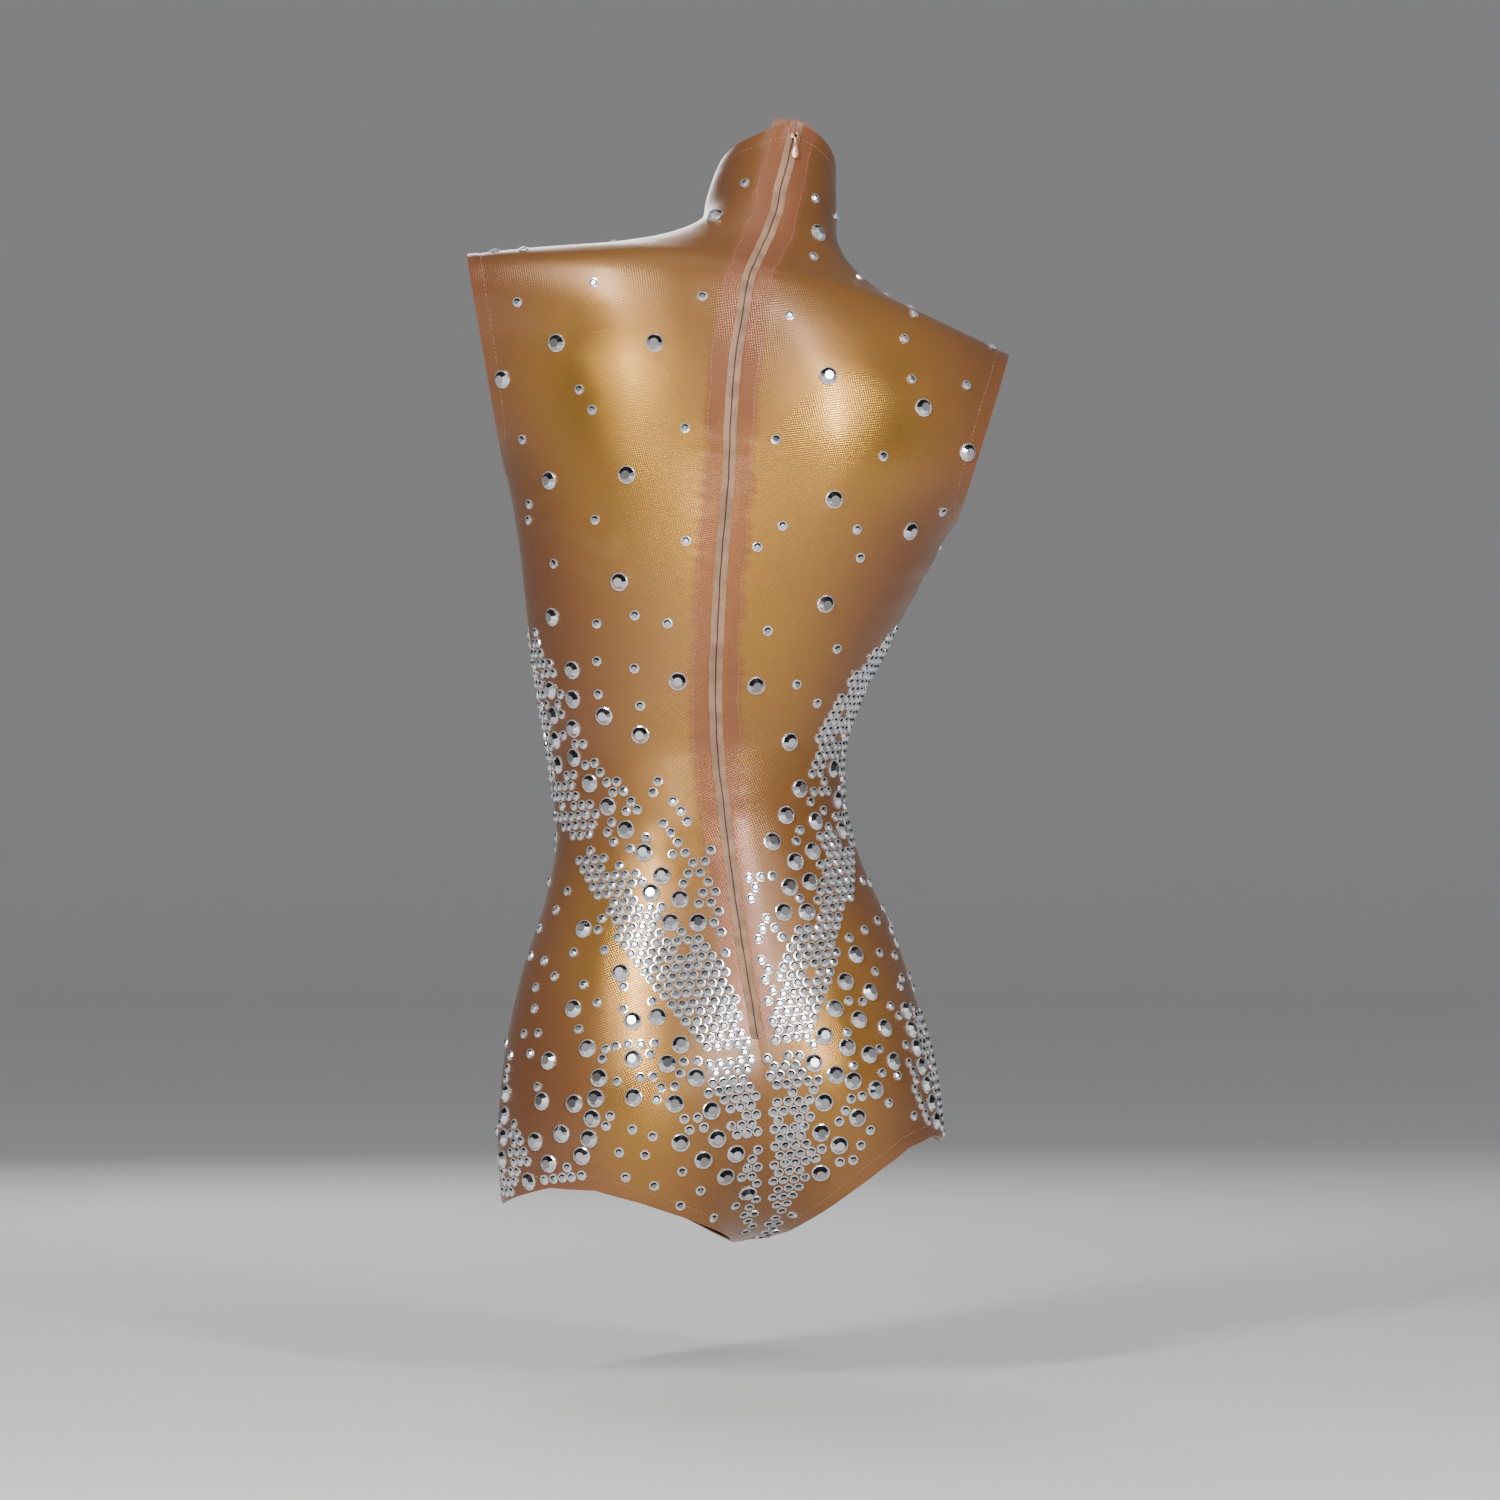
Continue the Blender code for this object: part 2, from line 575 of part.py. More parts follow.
def panel(name, loop, middle, face):
    """A cloth panel: a plain inside, and an outside with the large stones raised in it."""
    edge = ring_edges(0, len(loop))
    inner = np.concatenate([loop, inner_points(loop)])
    rings = []
    for side, height in stone_places(face):
        pair = stone_rings(FORM.seen_at(side * MM, height * MM, face), middle)
        middles = np.array([other[0].mean(0) for other in rings] + [pair[0].mean(0) + 1])
        apart = np.linalg.norm(middles - pair[0].mean(0), axis=1).min()
        within = inside(pair[0], loop).all() and distance(pair[0], loop).min() > STONE_MARGIN
        if within and apart > STONE_WIDTH + STONE_APART:
            rings.append(pair)
    free = inner[len(loop) :]
    for foot, _ in rings:
        free = free[np.linalg.norm(free - foot.mean(0), axis=1) > STONE_WIDTH * 0.95]
    outer, outer_edge = [loop, free], list(edge)
    stands = [np.full(len(loop) + len(free), WALL)]
    for pair in rings:
        for ring, stand in zip(pair, (0, STONE_STAND)):
            outer_edge += ring_edges(sum(map(len, outer)), STONE_SIDES)
            outer.append(ring)
            stands.append(np.full(STONE_SIDES, WALL + stand))
    outer = np.concatenate(outer)

    angle, run = FORM.worn(inner, middle)
    off_zip = np.abs(FORM.arc(angle, run) - FORM.arc(0, run))
    fold = HEM_FOLD * (run < collar_edge(angle) + HEM_DEPTH) * (off_zip > TAPE_WIDTH + 3 * MM)
    low = FORM.at(angle, run) - FORM.normal(angle, run) * fold[:, None]
    angle, run = FORM.worn(outer, middle)
    high = FORM.at(angle, run) + FORM.normal(angle, run) * np.concatenate(stands)[:, None]
    seam_side = FORM.columns[2][-1] + face * SEAM_GAP / 2
    for sheet, flat in ((low, inner), (high, outer)):
        at_crotch = flat[:, 1] < -FORM.length + 0.01 * MM
        short = at_crotch & (face * (sheet[:, 1] - seam_side) < 0)
        sheet[short, 1] = seam_side
    return wall(name, low, high, triangulate(inner, edge, loop), triangulate(outer, outer_edge, loop), MESH_COLOUR)


def strip(name, arcs, runs, depth, thick, colour):
    """A band inside the centre back, laid along the zip; arcs are its columns, measured from the zip."""
    flat = np.array([(arc, -run) for run in runs for arc in arcs])
    angle, run = FORM.worn(flat, 0)
    over = np.clip(COLLAR_RUN - TAPE_END - run, 0, None)
    base, normal = FORM.at(angle, run + over), FORM.normal(angle, run)
    high = base - normal * depth
    columns = len(arcs)
    faces = []
    for row in range(len(runs) - 1):
        for column in range(columns - 1):
            a = row * columns + column
            faces += [(a, a + columns, a + columns + 1), (a, a + columns + 1, a + 1)]
    faces = np.array(faces)
    if arcs[1] > arcs[0]:
        faces = faces[:, ::-1]
    return wall(name, high - normal * thick, high, faces, faces, colour)


def block(size, middle):
    """The points and faces of a plain block of that size about that middle."""
    x, y, z = (np.array([-0.5, 0.5]) * length + place for length, place in zip(size, middle))
    points = [(a, b, c) for a in x for b in y for c in z]
    return points, [(0, 1, 3, 2), (4, 6, 7, 5), (0, 4, 5, 1), (2, 3, 7, 6), (0, 2, 6, 4), (1, 5, 7, 3)]


def fitted(name, shape, matrix):
    """A metal piece from points and faces that are turned and set in place."""
    points, faces = shape
    return solid(name, [matrix @ Vector(p) for p in points], faces, PULL_COLOUR)


def cut_with(thing, tool, operation):
    """Join another solid to a piece, or take it away; the other is kept as a guide."""
    change = thing.modifiers.new(operation.title(), "BOOLEAN")
    change.object, change.operation, change.solver = tool, operation, "EXACT"
    tool.hide_render, tool.display_type = True, "WIRE"
    tool.hide_set(True)


# The front, then the two backs.
panel("front_panel", front_loop(), 2 * QUARTER, -1)
for hand, label in ((1, "left"), (-1, "right")):
    panel(f"back_panel_{label}", back_loop(hand), 0, 1)

# The zip's tapes lie inside the back edges, and their raw ends stand a little over the collar.
foot_run = float(FORM.run_at(ZIP_FOOT))
rows = np.linspace(COLLAR_RUN - TAPE_END, foot_run, math.ceil((foot_run - COLLAR_RUN) / TAPE_ROW))
for hand, label in ((1, "left"), (-1, "right")):
    columns = hand * np.linspace(SEAM_GAP / 2, TAPE_WIDTH, 3)
    strip(f"zip_tape_{label}", columns, rows, TAPE_DEPTH, TAPE_THICK, TAPE_COLOUR)
patch_rows = np.linspace(FORM.run_at(PATCH_TOP), FORM.run_at(PATCH_FOOT), 4)
patch_columns = np.linspace(TAPE_WIDTH + PATCH_OFF, TAPE_WIDTH + PATCH_OFF + PATCH_WIDTH, 3)
strip("neck_patch", patch_columns, patch_rows, PATCH_DEPTH, PATCH_THICK, MESH_COLOUR)

# The slider sits on the zip's head, swung so that its pull hangs plumb. Its frame runs across, up and out.
slider_run = float(FORM.run_at(SLIDER_HEIGHT))
out = FORM.normal(0, slider_run)
up = FORM.at(0, slider_run - SLIDER_LENGTH) - FORM.at(0, slider_run + SLIDER_LENGTH)
up -= out * (up @ out)
up /= np.linalg.norm(up)
frame = Matrix(np.stack([np.cross(up, out), up, out], 1).tolist()).to_4x4()
frame.translation = Vector(FORM.at(0, slider_run) + out * (WALL + SLIDER_LIFT))
frame = frame @ Matrix.Rotation(SLIDER_SWING, 4, "Z")

# A bridge stands on the slider's plate, with a window bored across it for the pull.
hinge_out = SLIDER_PLATE + WINDOW_TALL / 2
slider = fitted("zip_slider", block((SLIDER_WIDTH, SLIDER_LENGTH, SLIDER_PLATE), (0, 0, SLIDER_PLATE / 2)), frame)
bridge_long, bridge_tall = WINDOW_LONG + 2 * BRIDGE_BAR, WINDOW_TALL + BRIDGE_BAR
overlap = SLIDER_PLATE / 2
bridge_size = (BRIDGE_WIDTH, bridge_long, bridge_tall + overlap)
bridge = fitted("bridge", block(bridge_size, (0, 0, SLIDER_PLATE - overlap + bridge_size[2] / 2)), frame)
window = fitted("window", block((2 * BRIDGE_WIDTH, WINDOW_LONG, WINDOW_TALL), (0, 0, hinge_out)), frame)
cut_with(slider, bridge, "UNION")
cut_with(slider, window, "DIFFERENCE")

# The pull's bar lies in the window and its eye goes round the bridge's foot. It hangs with its tip off the cloth.
half_outline = [(half * MM, -below * MM) for below, half in PULL]
outline = half_outline + [(-x, y) for x, y in reversed(half_outline)]
count = len(outline)
points = [(x, y, level) for level in (-PULL_THICK / 2, PULL_THICK / 2) for x, y in outline]
faces = [tuple(range(count)), tuple(range(2 * count - 1, count - 1, -1))]
faces += [(k, k + count, (k + 1) % count + count, (k + 1) % count) for k in range(count)]
pull_length = PULL[-1][0] * MM
tip_run = slider_run + pull_length
tip_lift = WALL + PULL_CLEAR + PULL_THICK / 2
tip = frame.inverted() @ Vector(FORM.at(0, tip_run) + FORM.normal(0, tip_run) * tip_lift)
droop = math.atan2(tip.z - hinge_out, pull_length)
pull_frame = frame @ Matrix.Translation((0, 0, hinge_out)) @ Matrix.Rotation(-droop, 4, "X")
pull = fitted("zip_pull", (points, faces), pull_frame)
eye_size = (PULL_EYE_WIDTH, PULL_EYE_FOOT - PULL_EYE_TOP, 2 * PULL_THICK)
eye = fitted("eye", block(eye_size, (0, -(PULL_EYE_TOP + PULL_EYE_FOOT) / 2, 0)), pull_frame)
cut_with(pull, eye, "DIFFERENCE")
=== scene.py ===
"""The finish of a sleeveless stage leotard in sheer nude mesh, set with cut stones, as it is worn.

The cloth is worked out as one surface of two parameters, an angle round the body and a run down it, from a table
of rings. Panels, bands, stitches and stones are all placed on that surface. The back faces the camera.
"""

import math

import bmesh
import bpy
import numpy as np
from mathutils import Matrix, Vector
from mathutils.geometry import delaunay_2d_cdt


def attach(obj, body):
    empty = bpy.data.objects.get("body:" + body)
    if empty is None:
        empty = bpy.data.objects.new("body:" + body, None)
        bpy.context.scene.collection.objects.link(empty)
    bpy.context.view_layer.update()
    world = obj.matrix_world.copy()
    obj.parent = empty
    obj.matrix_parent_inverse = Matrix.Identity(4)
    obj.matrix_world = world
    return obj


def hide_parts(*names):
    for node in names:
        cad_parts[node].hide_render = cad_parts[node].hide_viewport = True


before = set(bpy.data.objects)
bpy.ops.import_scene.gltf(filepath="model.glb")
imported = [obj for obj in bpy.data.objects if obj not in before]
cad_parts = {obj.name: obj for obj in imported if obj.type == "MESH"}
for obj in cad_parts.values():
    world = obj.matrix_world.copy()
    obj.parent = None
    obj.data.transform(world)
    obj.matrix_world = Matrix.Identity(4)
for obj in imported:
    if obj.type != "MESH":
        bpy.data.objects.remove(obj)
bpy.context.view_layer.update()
MM = 0.001
QUARTER = math.pi / 2

# The camera stands behind the wearer, level with the waist, as far off as a studio camera with a normal lens.
VIEW_MIDDLE = Vector((0.014, 0.04, -0.357))
VIEW_DISTANCE = 6
VIEW_WIDTH = 1.05
camera = bpy.data.objects.new("camera", bpy.data.cameras.new("camera"))
camera.data.sensor_width = 36
camera.data.lens = camera.data.sensor_width * VIEW_DISTANCE / VIEW_WIDTH
camera.location = VIEW_MIDDLE + Vector((0, VIEW_DISTANCE, 0))
camera.rotation_euler = (QUARTER, 0, 2 * QUARTER)
bpy.context.scene.collection.objects.link(camera)
bpy.context.scene.camera = camera

# The worn form. The cloth is cut from a stretch mesh and takes this shape only when it is filled.
SEAM_GAP = 0.02 * MM
MESH_STEP = 5.5 * MM
EDGE_STEP = 4 * MM
# One row for each ring of the body, from just above the collar down to the crotch, in mm and degrees. side and
# depth place the ring's middle, back and front are its depths, tilt lifts the wearer's left, turn swings the
# centre back to the wearer's right, rise lifts the back edge for each mm of depth, full squares the ring where it
# is above 0 and draws it to a lens below 0, skew moves the centre lines sideways, and keel draws the centre lines
# together between the legs, from 1 for not at all to 0 for touching.
RING_COLUMNS = ("height", "side", "depth", "width", "back", "front", "tilt", "turn", "rise", "full", "skew", "keel")
RINGS = (
    (66, -9, -15, 36, 42, 42, 2, 17, 0.71, 0.00, 0, 1),
    (52, -6, -12, 39, 44, 44, 2, 16, 0.70, 0.00, 0, 1),
    (26, -1, -6, 45, 48, 48, 3, 14, 0.66, 0.00, 0, 1),
    (4, 1, 0, 47, 52, 54, 5, 9, 0.62, 0.00, 0, 1),
    (-15, 4, 3, 60, 56, 60, 7, 8, 0.60, -0.05, 0, 1),
    (-27, 9, 5, 85, 62, 64, 8.2, 7, 0.50, -0.12, 0, 1),
    (-38, 16, 7, 127, 72, 68, 8.6, 7, 0.40, -0.20, 0, 1),
    (-46, 21, 8, 179, 82, 72, 8.5, 6.5, 0.32, -0.28, 0, 1),
    (-55, 25, 8, 214, 88, 74, 8.4, 6, 0.27, -0.34, 0, 1),
    (-74, 26, 8, 229, 93, 77, 8.6, 4, 0.20, -0.36, 0, 1),
    (-103, 25, 8, 219, 97, 80, 8.9, 0, 0.10, -0.30, 0, 1),
    (-140, 26, 8, 192, 99, 84, 9.2, -1, 0.04, -0.15, 0, 1),
    (-170, 29, 8, 163, 98, 86, 8.6, 0, 0, 0.00, 0, 1),
    (-217, 34, 7, 144, 95, 86, 5.8, 0.5, 0, 0.08, 0, 1),
    (-271, 42, 5, 128, 89, 84, 2.3, 2.3, 0, 0.10, -2, 1),
    (-324, 49, 2, 112, 82, 82, -1.5, 5.6, 0, 0.10, -3, 1),
    (-364, 51, 0, 103, 77, 80, -4.5, 8, 0, 0.08, -4, 1),
    (-404, 49, 0, 101, 77, 81, -5.8, 9.3, 0, 0.06, -5, 1),
    (-448, 46, 2, 111, 82, 84, -5.6, 9, 0, 0.06, -7, 1),
    (-499, 43, 4, 131, 88, 88, -5.2, 10, 0, 0.08, -9, 1),
    (-548, 41, 6, 145, 92, 90, -5.4, 11.5, 0, 0.10, -11, 1),
    (-593, 38, 7, 154, 93, 91, -6, 12, 0, 0.12, -13, 1),
    (-627, 36, 6, 157, 92, 90, -6.6, 11.8, 0, 0.14, -14, 1),
    (-655, 33, 5, 157, 91, 88, -7.4, 10.5, 0, 0.16, -15, 0.93),
    (-680, 31, 4, 154, 88, 86, -7.4, 10, 0, 0.18, -16, 0.72),
    (-696, 30, 3, 150, 86, 84, -7.4, 10, 0, 0.20, -17, 0.42),
    (-703, 30, 2, 148, 85, 83, -7.4, 10, 0, 0.20, -17, 0),
)
COLLAR_TOP = 52 * MM
COLLAR_DIP = 9 * MM
CROTCH_HALF = 12 * MM
KEEL_WIDTH = 30 * MM

# Soft fullness that the cut gives: the face it lies on (1 back, -1 front), its height, its distance either side
# of the middle, how far it stands out, and how far it spreads across and up, in mm.
FULLNESS = (
    (-1, -222, 76, 34, 44, 46),
    (1, -598, 70, 17, 46, 52),
    (1, -128, 82, 5, 40, 48),
)

# The armhole edges, each a straight cut seen from behind, from its top on the shoulder to its foot under the arm,
# as side and height in mm. The hand is 1 for the wearer's left and -1 for the right.
ARMHOLES = {1: ((211, -13), (189, -140)), -1: ((-169, -75), (-131, -196))}
ARMHOLE_MIDDLE = -105 * MM
ARMHOLE_BELOW = -230 * MM

# The leg edges: ring height in mm at each angle from the centre line, in degrees, behind and in front.
LEG_ANGLES = (0, 5, 12, 22, 33, 45, 60, 75, 90)
LEG_BACK = (-703, -703, -692, -677, -663, -651, -646, -650, -655)
LEG_FRONT = (-703, -703, -688, -668, -652, -642, -640, -648, -655)
CROTCH_ANGLE = math.radians(5)


def flowing(at, known, values):
    """A curve through the table's rows that never swings past them, read at any place between them."""
    gap = np.diff(known)
    slope = np.diff(values) / gap
    tangent = np.zeros(len(known))
    same = slope[:-1] * slope[1:] > 0
    lean_one = 2 * gap[1:] + gap[:-1]
    lean_two = gap[1:] + 2 * gap[:-1]
    with np.errstate(divide="ignore", invalid="ignore"):
        mean = (lean_one + lean_two) / (lean_one / slope[:-1] + lean_two / slope[1:])
    tangent[1:-1] = np.where(same, mean, 0)
    tangent[0], tangent[-1] = slope[0], slope[-1]
    k = np.clip(np.searchsorted(known, at, side="right") - 1, 0, len(gap) - 1)
    s = (at - known[k]) / gap[k]
    return (
        values[k] * (1 + 2 * s) * (1 - s) ** 2
        + values[k + 1] * s * s * (3 - 2 * s)
        + gap[k] * s * (1 - s) * (tangent[k] * (1 - s) - tangent[k + 1] * s)
    )


def eased(share):
    """0 to 1 with a soft start and end."""
    share = np.clip(share, 0, 1)
    return share * share * (3 - 2 * share)


class Form:
    """The worn shape as a surface of two parameters: an angle round the body, 0 at the centre back and growing
    towards the wearer's left, and a run down the body in metres, which starts a little above the collar."""

    SAMPLES = 600
    SPOKES = 265
    BLUR = 9 * MM

    def __init__(self):
        rows = np.array(RINGS, float)
        rows[:, [0, 1, 2, 3, 4, 5, 10]] *= MM
        rows[:, [6, 7]] = np.radians(rows[:, [6, 7]])
        height, side, depth, width, back = rows[:, :5].T
        tilt, rise, keel = rows[:, 6], rows[:, 8], rows[:, 11]
        left = np.stack([side + width * np.cos(tilt), depth, height + width * np.sin(tilt)], 1)
        spine = np.stack([side, depth + back * keel, height + back * rise * keel], 1)
        steps = [np.linalg.norm(np.diff(line, axis=0), axis=1) for line in (left, spine)]
        runs = np.concatenate([[0], np.cumsum((steps[0] + steps[1]) / 2)])
        self.length = runs[-1]
        self.run = np.linspace(0, self.length, self.SAMPLES)
        reach = max(1, round(self.BLUR / self.length * self.SAMPLES))
        weights = np.hanning(2 * reach + 3)[1:-1]
        weights /= weights.sum()
        self.columns = []
        for name, values in zip(RING_COLUMNS, rows.T):
            curve = flowing(self.run, runs, values)
            if name != "keel":
                ends = 2 * curve[0] - curve[reach:0:-1], 2 * curve[-1] - curve[-2 : -reach - 2 : -1]
                curve = np.convolve(np.concatenate([ends[0], curve, ends[1]]), weights, "valid")
            self.columns.append(curve)
        self.angles = np.linspace(-1.2 * QUARTER, 3.2 * QUARTER, self.SPOKES)
        self.rings = self.at(self.angles[None, :], self.run[:, None])
        steps = np.linalg.norm(np.diff(self.rings, axis=1), axis=2)
        self.arcs = np.concatenate([np.zeros((self.SAMPLES, 1)), np.cumsum(steps, axis=1)], axis=1)

    def at(self, angle, run):
        """Points: a ring of half width and depth times sine and cosine, turned, tilted and set in place."""
        angle, run = np.broadcast_arrays(np.asarray(angle, float), np.asarray(run, float))
        run = np.clip(run, 0, self.length)
        height, side, depth, width, back, front, tilt, turn, rise, full, skew, keel = (
            np.interp(run, self.run, column) for column in self.columns
        )
        sine, cosine = np.sin(angle), np.cos(angle)
        across = width * sine + skew * cosine**2
        beside = np.clip(np.abs(across - skew) - CROTCH_HALF, 0, None) / KEEL_WIDTH
        pinch = 1 - (1 - keel) * np.exp(-(beside**2))
        out = np.where(cosine > 0, back, front) * cosine * (1 + full * sine**2) * pinch
        for face, level, apart, stand, wide, tall in FULLNESS:
            for hand in (1, -1):
                off_across = ((across - skew) / MM - hand * apart) / wide
                off_up = (height / MM - level) / tall
                swell = np.exp(-(off_across**2 + off_up**2) / 2) * eased(face * cosine * 2.5) * keel
                out = out + face * stand * MM * swell
        swung = across * np.cos(turn) - out * np.sin(turn)
        fore = across * np.sin(turn) + out * np.cos(turn)
        return np.stack(
            [side + swung * np.cos(tilt), depth + fore, height + swung * np.sin(tilt) + rise * fore], axis=-1
        )

    def normal(self, angle, run):
        """The unit normal that points out of the body, from central differences."""
        angle, run = np.broadcast_arrays(np.asarray(angle, float), np.asarray(run, float))
        near = 0.004
        below, above = (np.clip(run + off, 0, self.length) for off in (near, -near))
        down = self.at(angle, below) - self.at(angle, above)
        around = self.at(angle + near, run) - self.at(angle - near, run)
        normal = np.cross(around, down)
        return normal / np.linalg.norm(normal, axis=-1, keepdims=True)

    def run_at(self, height):
        """The run of the ring of that height."""
        return np.interp(-np.asarray(height, float), -self.columns[0], self.run)

    def arc(self, angle, run):
        """How far round the cloth that angle lies, from the first spoke."""
        angle, run = np.broadcast_arrays(np.asarray(angle, float), np.asarray(run, float))
        row = np.clip(run / self.length * (self.SAMPLES - 1), 0, self.SAMPLES - 1.001)
        column = (angle - self.angles[0]) / (self.angles[1] - self.angles[0])
        i, j = row.astype(int), column.astype(int)
        p, q = row - i, column - j
        above = self.arcs[i, j] * (1 - q) + self.arcs[i, j + 1] * q
        below = self.arcs[i + 1, j] * (1 - q) + self.arcs[i + 1, j + 1] * q
        return above * (1 - p) + below * p

    def angle(self, arc, run):
        """The angle that lies that far round the cloth."""
        rows = np.clip(np.asarray(run) / self.length * (self.SAMPLES - 1), 0, self.SAMPLES - 1.001)
        found = []
        for far, row in zip(arc, rows):
            i = int(row)
            ring = self.arcs[i] * (i + 1 - row) + self.arcs[i + 1] * (row - i)
            found.append(np.interp(far, ring, self.angles))
        return np.array(found)

    def flat(self, angle, run, middle):
        """Where a point lies on the laid out cloth: across from the middle line, and down as a negative number."""
        angle, run = np.broadcast_arrays(np.asarray(angle, float), np.asarray(run, float))
        return np.stack([self.arc(angle, run) - self.arc(middle, run), -run], -1)

    def worn(self, flat, middle):
        """Angle and run of a point of the laid out cloth."""
        run = -flat[:, 1]
        return self.angle(flat[:, 0] + self.arc(middle, run), run), run

    def seen_at(self, side, height, face):
        """Angle and run of the point that is seen there from behind, on the back (1) or the front (-1)."""
        faces = np.cos(self.angles) * face > 0
        far = np.hypot(self.rings[:, faces, 0] - side, self.rings[:, faces, 2] - height)
        i, j = np.unravel_index(np.argmin(far), far.shape)
        angle, run = self.angles[faces][j], self.run[i]
        small = 0.002
        for _ in range(3):
            here, right, down = self.at([angle, angle + small, angle], [run, run, run + small])[:, [0, 2]]
            along = np.stack([right - here, down - here], 1) / small
            step = np.linalg.lstsq(along, np.array([side, height]) - here, rcond=None)[0]
            angle, run = angle + np.clip(step[0], -0.05, 0.05), run + np.clip(step[1], -0.01, 0.01)
        return angle, run


FORM = Form()
ZIP_FOOT = -560 * MM
COLLAR_RUN = FORM.run_at(COLLAR_TOP)


def collar_edge(angle):
    """The run of the collar's top edge, which dips on the wearer's left."""
    behind = eased(np.clip(angle, 0, None) / (QUARTER / 2))
    before = np.cos((angle - QUARTER) / 2) ** 2
    return COLLAR_RUN + COLLAR_DIP * np.where(angle > QUARTER, before, behind)


def beyond_armhole(angle, run, hand):
    """How far a point lies outside the straight cut of that armhole."""
    (top_side, top_height), (foot_side, foot_height) = (np.array(end) * MM for end in ARMHOLES[hand])
    point = FORM.at(angle, run)
    fall, lean = top_height - foot_height, top_side - foot_side
    away = (point[..., 0] - foot_side) * fall - (point[..., 2] - foot_height) * lean
    return hand * away / math.hypot(fall, lean)


def crossing(test, low, high):
    """Where the test turns positive between low and high, by halving."""
    for _ in range(40):
        middle = (low + high) / 2
        outside = test(middle) > 0
        low, high = np.where(outside, low, middle), np.where(outside, middle, high)
    return (low + high) / 2


def paced(angle, run, step):
    """The same line in steps of equal length on the worn cloth."""
    points = FORM.at(angle, run)
    far = np.concatenate([[0], np.cumsum(np.linalg.norm(np.diff(points, axis=0), axis=1))])
    places = np.linspace(0, far[-1], max(2, math.ceil(far[-1] / step) + 1))
    return np.stack([np.interp(places, far, angle), np.interp(places, far, run)], 1)


def seam(angle, first, last):
    """A seam straight down the body, at one angle."""
    return paced(np.full(120, float(angle)), np.linspace(first, last, 120), EDGE_STEP)


ARMHOLE_RUNS = {
    hand: (
        crossing(lambda run: beyond_armhole(hand * QUARTER, run, hand), COLLAR_RUN, FORM.run_at(ARMHOLE_MIDDLE)),
        crossing(
            lambda run: -beyond_armhole(hand * QUARTER, run, hand),
            FORM.run_at(ARMHOLE_MIDDLE),
            FORM.run_at(ARMHOLE_BELOW),
        ),
    )
    for hand in (1, -1)
}
HEM_RUN = FORM.run_at(LEG_BACK[-1] * MM)
CENTRE_SEAM = seam(0, COLLAR_RUN, FORM.length)
SHOULDER_SEAMS = {h: seam(h * QUARTER, collar_edge(h * QUARTER), ARMHOLE_RUNS[h][0]) for h in (1, -1)}
SIDE_SEAMS = {h: seam(h * QUARTER, ARMHOLE_RUNS[h][1], HEM_RUN) for h in (1, -1)}


def armhole(hand, face):
    """The armhole edge from the shoulder to the underarm, on the back or the front, as angle from the back."""
    top, foot = ARMHOLE_RUNS[hand]
    share = (1 - np.cos(np.linspace(0, math.pi, 160))) / 2
    runs = top + (foot - top) * share

    def over(angle):
        return beyond_armhole(hand * angle if face > 0 else hand * (2 * QUARTER - angle), runs, hand)

    inner = crossing(over, np.full(160, 0.2), np.full(160, QUARTER))
    inner[0] = inner[-1] = QUARTER
    around = hand * inner if face > 0 else hand * (2 * QUARTER - inner)
    return paced(around, runs, EDGE_STEP)


def leg_edge(hand, face):
    """The leg edge from the side seam to the crotch, as angle from that face's middle times the hand."""
    from_middle = np.linspace(QUARTER, CROTCH_ANGLE, 120)
    heights = LEG_BACK if face > 0 else LEG_FRONT
    runs = FORM.run_at(np.interp(np.degrees(from_middle), LEG_ANGLES, heights) * MM)
    around = hand * from_middle if face > 0 else hand * (2 * QUARTER - from_middle)
    return paced(around, runs, EDGE_STEP)


def moved(line, middle, across):
    """A line of angle and run, moved across the laid out cloth."""
    flat = FORM.flat(line[:, 0], line[:, 1], middle)
    flat[:, 0] += across
    return flat


def joined(*lines):
    """One closed loop from lines that meet end to end; each line gives up its last point to the next."""
    return np.concatenate([line[:-1] for line in lines])


def back_loop(hand):
    """The outline of one back on the laid out cloth: collar, shoulder, armhole, side, leg, crotch and zip."""
    half_gap = SEAM_GAP / 2
    angles = np.linspace(0, hand * QUARTER, 60)
    collar = moved(paced(angles, collar_edge(angles), EDGE_STEP), 0, 0)
    shoulder = moved(SHOULDER_SEAMS[hand], 0, -hand * half_gap)
    arm = moved(armhole(hand, 1), 0, 0)
    side = moved(SIDE_SEAMS[hand], 0, -hand * half_gap)
    leg = moved(leg_edge(hand, 1), 0, 0)
    crotch = moved(np.array([(hand * CROTCH_ANGLE, FORM.length), (0, FORM.length)]), 0, 0)
    centre = moved(CENTRE_SEAM[::-1], 0, hand * half_gap)
    crotch[-1] = centre[0]
    loop = joined(collar, shoulder, arm, side, leg, crotch, centre)
    loop[0] = centre[-1]
    return loop


